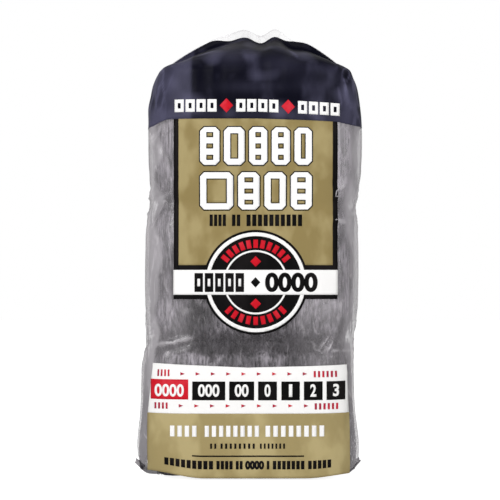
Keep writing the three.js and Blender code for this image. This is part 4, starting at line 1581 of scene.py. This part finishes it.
class PACK_OT_bottom_seal(bpy.types.Operator):
    """Makes the flat bottom seal and its two turned-up ears"""

    bl_idname = "pack.bottom_seal"
    bl_label = "Bottom Seal"

    ear_angle = 0.7
    ear_length = 5.8 * MM
    seal_width = 26 * MM

    def execute(self, context):
        half_width, _, centre = wall_section(SEAL_LIP + BASE_EDGE_RADIUS)
        bend_at = half_width - BASE_EDGE_RADIUS
        path = self.half_path(bend_at)
        path = [(-x, z) for x, z in path[:0:-1]] + path
        vertices = []
        for x, z in path:
            end = smooth(bend_at, path[-1][0], abs(x))
            for share in np.arange(SEAL_ROWS) / (SEAL_ROWS - 1) - 0.5:
                crimp = 0.06 * MM * math.sin(share * 70) * (1 - end)
                curl = 0.9 * MM * end * math.sin(share * 9 + x * 300)
                y = share * self.seal_width * (1 - 0.35 * end)
                vertices.append((centre + x, y, z + crimp + curl))
        faces = [
            (a, a + SEAL_ROWS, a + SEAL_ROWS + 1, a + 1)
            for column in range(len(path) - 1)
            for a in range(column * SEAL_ROWS, (column + 1) * SEAL_ROWS - 1)
        ]
        piece = new_object("bottom_seal", vertices, faces, cached("clear film", film_material))
        set_values(piece.data, "haze_and_highlight", np.ones(len(vertices)))
        thicken(piece, SEAL_LIP * 0.6, offset=0)
        hand_over(piece, "film", "film_bag")
        return {"FINISHED"}

    def half_path(self, bend_at):
        """The seal's line from the middle of the base, round its edge and up the ear."""
        radius = BASE_EDGE_RADIUS + SEAL_LIP / 2
        path = [(share * bend_at, SEAL_LIP / 2) for share in np.linspace(0, 1, 24, endpoint=False)]
        for bend in np.linspace(0, self.ear_angle, 8):
            z = SEAL_LIP + BASE_EDGE_RADIUS - radius * math.cos(bend)
            path.append((bend_at + radius * math.sin(bend), z))
        ear_x, ear_z = path[-1]
        for reach in np.linspace(0, self.ear_length, 8)[1:]:
            z = ear_z + reach * math.sin(self.ear_angle)
            path.append((ear_x + reach * math.cos(self.ear_angle), z))
        return path


class PACK_OT_wool_pads(bpy.types.Operator):
    """Makes the twelve rolled pads of steel wool"""

    bl_idname = "pack.wool_pads"
    bl_label = "Wool Pads"

    def execute(self, context):
        material = cached("steel wool", wool_material, 0.62, 0.25)
        surface = pad_surface()
        # Painted shade: on the pads' ends, the valleys between the turns of the roll are darker than
        # the ridges
        turns = (np.abs(surface[..., 0]) - PAD_WIDTH / 2) / TURN_RIDGE + 1
        turns[PAD_CAP_RINGS:-PAD_CAP_RINGS] = 1
        painted_valley_shade = (0.12 + 1.1 * np.clip(turns, 0, 1) ** 1.5).ravel()
        normals = grid_normals(surface)
        faces = ring_faces(len(surface), PAD_SIDES)
        last = (len(surface) - 1) * PAD_SIDES
        faces.append(tuple(range(PAD_SIDES))[::-1])
        faces.append(tuple(range(last, last + PAD_SIDES)))
        for row, row_name in enumerate(ROWS):
            for layer, layer_name in enumerate(LAYERS):
                shift = np.array([row * PAD_SHIFTS[0], layer * PAD_SHIFTS[1], 0])
                uneven = wool_relief(surface.reshape(-1, 3) + shift).reshape(surface.shape[:2])
                uneven[:2] *= 0
                uneven[-2:] *= 0
                points = pad_place(surface + normals * uneven[..., None], row, layer)
                points = points.reshape(-1, 3)
                name = f"{row_name}_{layer_name}"
                piece = new_object(f"wool_pad_{name}", points, faces, material)
                set_values(piece.data, "tone_and_painted_light", painted_valley_shade * wool_tone_and_painted_light(points))
                face_outwards(piece)
                hand_over(piece, "steel_wool", f"pad_{name}")
        return {"FINISHED"}


class PACK_OT_wool_fibres(bpy.types.Operator):
    """Draws loose strands on the pads and between them"""

    bl_idname = "pack.wool_fibres"
    bl_label = "Wool Fibres"

    def execute(self, context):
        count = context.scene.pack_sizes.fibre_count
        material = cached("wool strands", wool_material, 0.42, 0.6)
        generator = np.random.default_rng(STRAND_SEED)
        for row, row_name in enumerate(ROWS):
            for layer, layer_name in enumerate(LAYERS):
                placed = pad_place(strand_lines(row, layer, count, generator), row, layer)
                draw_strands(f"wool_fibres_{row_name}_{layer_name}", placed, material)
        for row, row_name in enumerate(ROWS):
            draw_strands(f"wool_fringe_{row_name}", fringe_lines(row, generator), material)
        for joint in range(1, len(ROWS)):
            draw_strands(f"wool_tufts_{ROWS[joint]}", tuft_lines(joint, generator), material)
        return {"FINISHED"}


class PACK_OT_header(bpy.types.Operator):
    """Makes the dark header that wraps round the top, and its row of plain marks"""

    bl_idname = "pack.header"
    bl_label = "Header"

    def execute(self, context):
        rings = header_rings()
        shaped = wrinkled(rings, grid_normals(rings), context.scene.pack_sizes.ink_lift)
        points = shaped.reshape(-1, 3)
        faces = ring_faces(len(shaped), FILM_SIDES)
        piece = new_object("header_print", points, faces, ink("navy ink"))
        set_values(piece.data, "haze_and_highlight", header_paleness_and_highlights(points))
        thicken(piece, INK_THICKNESS)
        hand_over(piece, "navy_ink", "print_header")
        label_piece("header_marks", word_marks(HEADER_ROW, 184.9, 191.2, 0.84), 2, "white ink")
        holes = word_marks(HEADER_ROW, 186.7, 189.4, 0.26)
        label_piece("header_mark_holes", holes, 3, "navy ink")
        first, last = HEADER_DIAMONDS
        start = (first * MM + ROW_CENTRE, HEADER_ROW_Z * MM)
        diamonds = row_marks(2, start, (last - first) * MM, (3.4 * MM, 3.6 * MM))
        label_piece("header_diamonds", diamonds, 2, "red ink")
        return {"FINISHED"}


class PACK_OT_label_panel(bpy.types.Operator):
    """Makes the gold label panel, its black border and its plain white blocks"""

    bl_idname = "pack.label_panel"
    bl_label = "Label Panel"

    def execute(self, context):
        low_x, high_x = BANNER_LOW.x, BANNER_HIGH.x
        low_z, high_z = BANNER_HIGH.z, HEADER_FROM
        inner_low, inner_high = low_x + PANEL_BORDER, high_x - PANEL_BORDER
        gold = flat_mesh([rectangle(inner_low, low_z + PANEL_BORDER, inner_high, high_z)])
        label_piece("panel_print", gold, 1, "gold ink", ["print_panel"])
        border = flat_mesh(
            [
                rectangle(low_x, low_z, inner_low, high_z),
                rectangle(inner_high, low_z, high_x, high_z),
                rectangle(inner_low, low_z, inner_high, low_z + PANEL_BORDER),
                rectangle(low_x, BANNER_LOW.z - RULE_WIDTH, high_x, BANNER_LOW.z),
            ]
        )
        label_piece("border_print", border, 1.2, "black ink", nodes_named("print_border"))
        for name, polygons, layer, colour in title_layers():
            label_piece(name, flat_mesh(polygons), layer, colour)
        label_piece("title_line", word_marks(TITLE_LINE, 127.75, 133.5, 0.7), 2.2, "black ink")
        return {"FINISHED"}


class PACK_OT_badge(bpy.types.Operator):
    """Makes the round black badge with its rings, red ticks and diamonds"""

    bl_idname = "pack.badge"
    bl_label = "Badge"

    def execute(self, context):
        middle = (LABEL_X, BADGE_Z)
        radius = context.scene.pack_sizes.badge_radius
        disc = flat_mesh(round_band(middle, 0, radius, BADGE_STEPS))
        bmesh.ops.dissolve_limit(
            disc, angle_limit=0.01, verts=disc.verts, edges=disc.edges, use_dissolve_boundaries=False
        )
        nodes = [name for name in nodes_named("print_badge") if "ring" not in name]
        label_piece("badge_print", disc, 2.4, "black ink", nodes)
        rings = []
        for inner, outer in BADGE_RINGS:
            rings += round_band(middle, radius * inner, radius * outer, BADGE_STEPS)
        nodes = nodes_named("print_badge_ring")
        label_piece("badge_ring_print", flat_mesh(rings), 3.4, "white ink", nodes)
        marks = []
        for count, start, sweep in BADGE_ARCS:
            ticks = marks_mesh(
                "Arc of Ticks",
                arc_tree,
                Count=count,
                Middle=(*middle, 0.0),
                Radius=radius * TICK_RADIUS,
                Start=math.radians(start),
                Sweep=math.radians(sweep),
                Length=4.2 * MM,
                Width=2.3 * MM,
                Material=ink("red ink"),
            )
            marks.append(ticks)
        for height in BADGE_DIAMONDS:
            place = (middle[0], middle[1] + height)
            marks.append(row_marks(1, place, 0.0, (2.7 * MM, 2.7 * MM)))
        label_piece("badge_marks", joined(marks), 3.4, "red ink")
        return {"FINISHED"}


class PACK_OT_banner(bpy.types.Operator):
    """Makes the white banner with its plain numerals"""

    bl_idname = "pack.banner"
    bl_label = "Banner"

    inset = 1.35 * MM

    def execute(self, context):
        low, high = BANNER_LOW, BANNER_HIGH
        banner = flat_mesh([rectangle(low.x, low.z, high.x, high.z)])
        label_piece("banner_print", banner, 4.6, "white ink", ["print_banner"])
        from_x, to_x = 8.7 * MM + ROW_CENTRE, 34.9 * MM + ROW_CENTRE
        number = digits_mesh("0000", from_x, low.z + self.inset, to_x, high.z - self.inset, 0.04)
        diamond = row_marks(1, (3.9 * MM + ROW_CENTRE, BADGE_Z), 0.0, (2.4 * MM, 2.6 * MM))
        marks = joined([number, word_marks(BANNER_ROW, 94.8, 104.2, 0.82), diamond])
        label_piece("banner_number", marks, 5.7, "black ink")
        holes = word_marks(BANNER_ROW, 97.6, 101.4, 0.26)
        label_piece("banner_mark_holes", holes, 6.8, "white ink")
        return {"FINISHED"}


class PACK_OT_grade_scale(bpy.types.Operator):
    """Makes the white scale strip with its boxes, numerals and arrows"""

    bl_idname = "pack.grade_scale"
    bl_label = "Grade Scale"

    def execute(self, context):
        corners = [(x * MM + ROW_CENTRE, z * MM) for x, z in SCALE_CORNERS]
        label_piece("scale_print", flat_mesh([corners]), 1.3, "white ink", ["print_scale"])
        red = flat_mesh([rectangle(*label_box(*RED_BOX))])
        label_piece("scale_box_red", red, 2.3, "red ink")
        numerals = [digits_mesh("0000", *numeral_box(RED_BOX[0], RED_BOX[2], "0000"), 0.03)]
        boxes = []
        for low_x, high_x, text in BLACK_BOXES:
            boxes.append(rectangle(*label_box(low_x, BOX_FROM, high_x, BOX_TO)))
            numerals.append(digits_mesh(text, *numeral_box(low_x, high_x, text), 0.03))
        label_piece("scale_boxes_black", flat_mesh(boxes), 2.3, "black ink")
        label_piece("scale_numerals", joined(numerals), 3.3, "white ink")
        arrows = []
        for start, z, step in SCALE_ARROWS:
            place = (start * MM + ROW_CENTRE, z * MM)
            arrows.append(row_marks(9, place, step * MM, (1.5 * MM, 0.95 * MM), sides=3))
        for word, low_z, high_z in SCALE_WORDS:
            arrows.append(word_marks((word,), low_z, high_z, 0.5))
        label_piece("scale_arrows", joined(arrows), 2.3, "dark red ink")
        return {"FINISHED"}


class PACK_OT_base_band(bpy.types.Operator):
    """Makes the gold band at the base with its rule and plain bars"""

    bl_idname = "pack.base_band"
    bl_label = "Base Band"

    def execute(self, context):
        band = flat_mesh([rectangle(BAND_LOW.x, BAND_FROM, BAND_HIGH.x, SCALE_FROM)])
        nodes = ["print_base_band"]
        label_piece("base_band_print", band, 1.2, "gold ink", nodes, haze_and_highlight=BAND_HAZE)
        rule = flat_mesh([rectangle(*label_box(-27.85, 12.3, 28.15, 13.0))])
        number = digits_mesh("0000", *label_box(-1.3, 6.0, 8.2, 10.4), 0.07)
        bold = word_marks(BAND_BOLD_WORDS, 6.1, 10.3, 0.72)
        thin = word_marks(BAND_THIN_WORDS, 16.4, 19.0, 0.45)
        label_piece("band_dark_marks", joined([rule, number, bold, thin]), 2.3, "black ink")
        pale = word_marks(BAND_PALE_WORDS, 22.4, 27.9, 0.6)
        label_piece("band_pale_marks", pale, 2.3, "white ink")
        return {"FINISHED"}


class PACK_OT_stage(bpy.types.Operator):
    """Makes the floor, the lamps, the world and the camera"""

    bl_idname = "pack.stage"
    bl_label = "Stage"

    def execute(self, context):
        scene = context.scene
        data = bpy.data.cameras.new("camera")
        data.lens = LENS
        data.sensor_width = SENSOR
        data.shift_y = EYE_BELOW_MIDDLE
        camera = linked("camera", data)
        front = -(STACK_HALF_DEPTH + FACE_EASE)
        camera.location = (ROW_CENTRE + CAMERA_SIDE, front - CAMERA_DISTANCE, EYE_HEIGHT)
        camera.rotation_euler = (math.pi / 2, 0, 0)
        scene.camera = camera
        self.make_floor()
        self.make_world(scene)
        for name, values in LAMPS.items():
            self.make_lamp(name, *values)
        scene.view_settings.view_transform = "Standard"
        return {"FINISHED"}

    def make_lamp(self, name, place, width, height, power):
        """A soft rectangular lamp that points at the middle of the pack."""
        data = bpy.data.lights.new(name, "AREA")
        data.shape = "RECTANGLE"
        data.size = width
        data.size_y = height
        data.energy = power
        lamp = linked(name, data)
        lamp.location = place
        aim = Vector((0, 0, STACK_TOP / 2)) - Vector(place)
        lamp.rotation_euler = aim.to_track_quat("-Z", "Y").to_euler()

    def make_floor(self):
        """A pale floor that shows white where nothing shades it."""
        material, tree, shader = plain_material("pale floor", 0.9)
        seen = add(tree, "ShaderNodeLightPath")["Is Camera Ray"]
        values = {
            "Base Color": (0.86, 0.86, 0.86, 1),
            "Emission Color": (1, 1, 1, 1),
            "Emission Strength": reckon(tree, "MULTIPLY", seen, 0.9),
        }
        plug(tree, shader, values)
        reach = FLOOR_REACH
        corners = [(-reach, -reach, 0), (reach, -reach, 0), (reach, reach, 0), (-reach, reach, 0)]
        floor = new_object("floor", corners, [(0, 1, 2, 3)], material)

    def make_world(self, scene):
        """White where the camera or clear film looks past the pack, and soft light elsewhere."""
        world = bpy.data.worlds.new("studio")
        scene.world = world
        world.use_nodes = True
        tree = world.node_tree
        rays = add(tree, "ShaderNodeLightPath")
        seen = reckon(tree, "MAXIMUM", rays["Is Camera Ray"], rays["Is Transmission Ray"])
        strength = spread(tree, seen, 0.0, 1.0, AMBIENT_LIGHT, 1.0)
        values = {"Color": (1, 1, 1, 1), "Strength": strength}
        plug(tree, tree.nodes["Background"].inputs, values)


OPERATORS = (
    PACK_OT_film_bag,
    PACK_OT_bottom_seal,
    PACK_OT_wool_pads,
    PACK_OT_wool_fibres,
    PACK_OT_header,
    PACK_OT_label_panel,
    PACK_OT_badge,
    PACK_OT_banner,
    PACK_OT_grade_scale,
    PACK_OT_base_band,
    PACK_OT_stage,
)


class PACK_PT_panel(bpy.types.Panel):
    """Sizes, colours and steps of the pack"""

    bl_label = "Steel Wool Pack"
    bl_idname = "PACK_PT_panel"
    bl_space_type = "VIEW_3D"
    bl_region_type = "UI"
    bl_category = "Steel Wool Pack"

    def draw(self, context):
        layout = self.layout
        for group in (context.scene.pack_sizes, context.scene.pack_look):
            for name in group.bl_rna.properties.keys():
                if name not in ("rna_type", "name"):
                    layout.prop(group, name)
        for operator in OPERATORS:
            layout.operator(operator.bl_idname)


CLASSES = (PackSizes, PackLook, *OPERATORS, PACK_PT_panel)


def register():
    for entry in CLASSES:
        bpy.utils.register_class(entry)
    bpy.types.Scene.pack_sizes = PointerProperty(type=PackSizes)
    bpy.types.Scene.pack_look = PointerProperty(type=PackLook)


def unregister():
    del bpy.types.Scene.pack_look
    del bpy.types.Scene.pack_sizes
    for entry in reversed(CLASSES):
        bpy.utils.unregister_class(entry)


def main():
    register()
    bpy.ops.pack.film_bag()
    bpy.ops.pack.bottom_seal()
    bpy.ops.pack.wool_pads()
    bpy.ops.pack.wool_fibres()
    bpy.ops.pack.header()
    bpy.ops.pack.label_panel()
    bpy.ops.pack.badge()
    bpy.ops.pack.banner()
    bpy.ops.pack.grade_scale()
    bpy.ops.pack.base_band()
    bpy.ops.pack.stage()


if __name__ == "__main__":
    main()
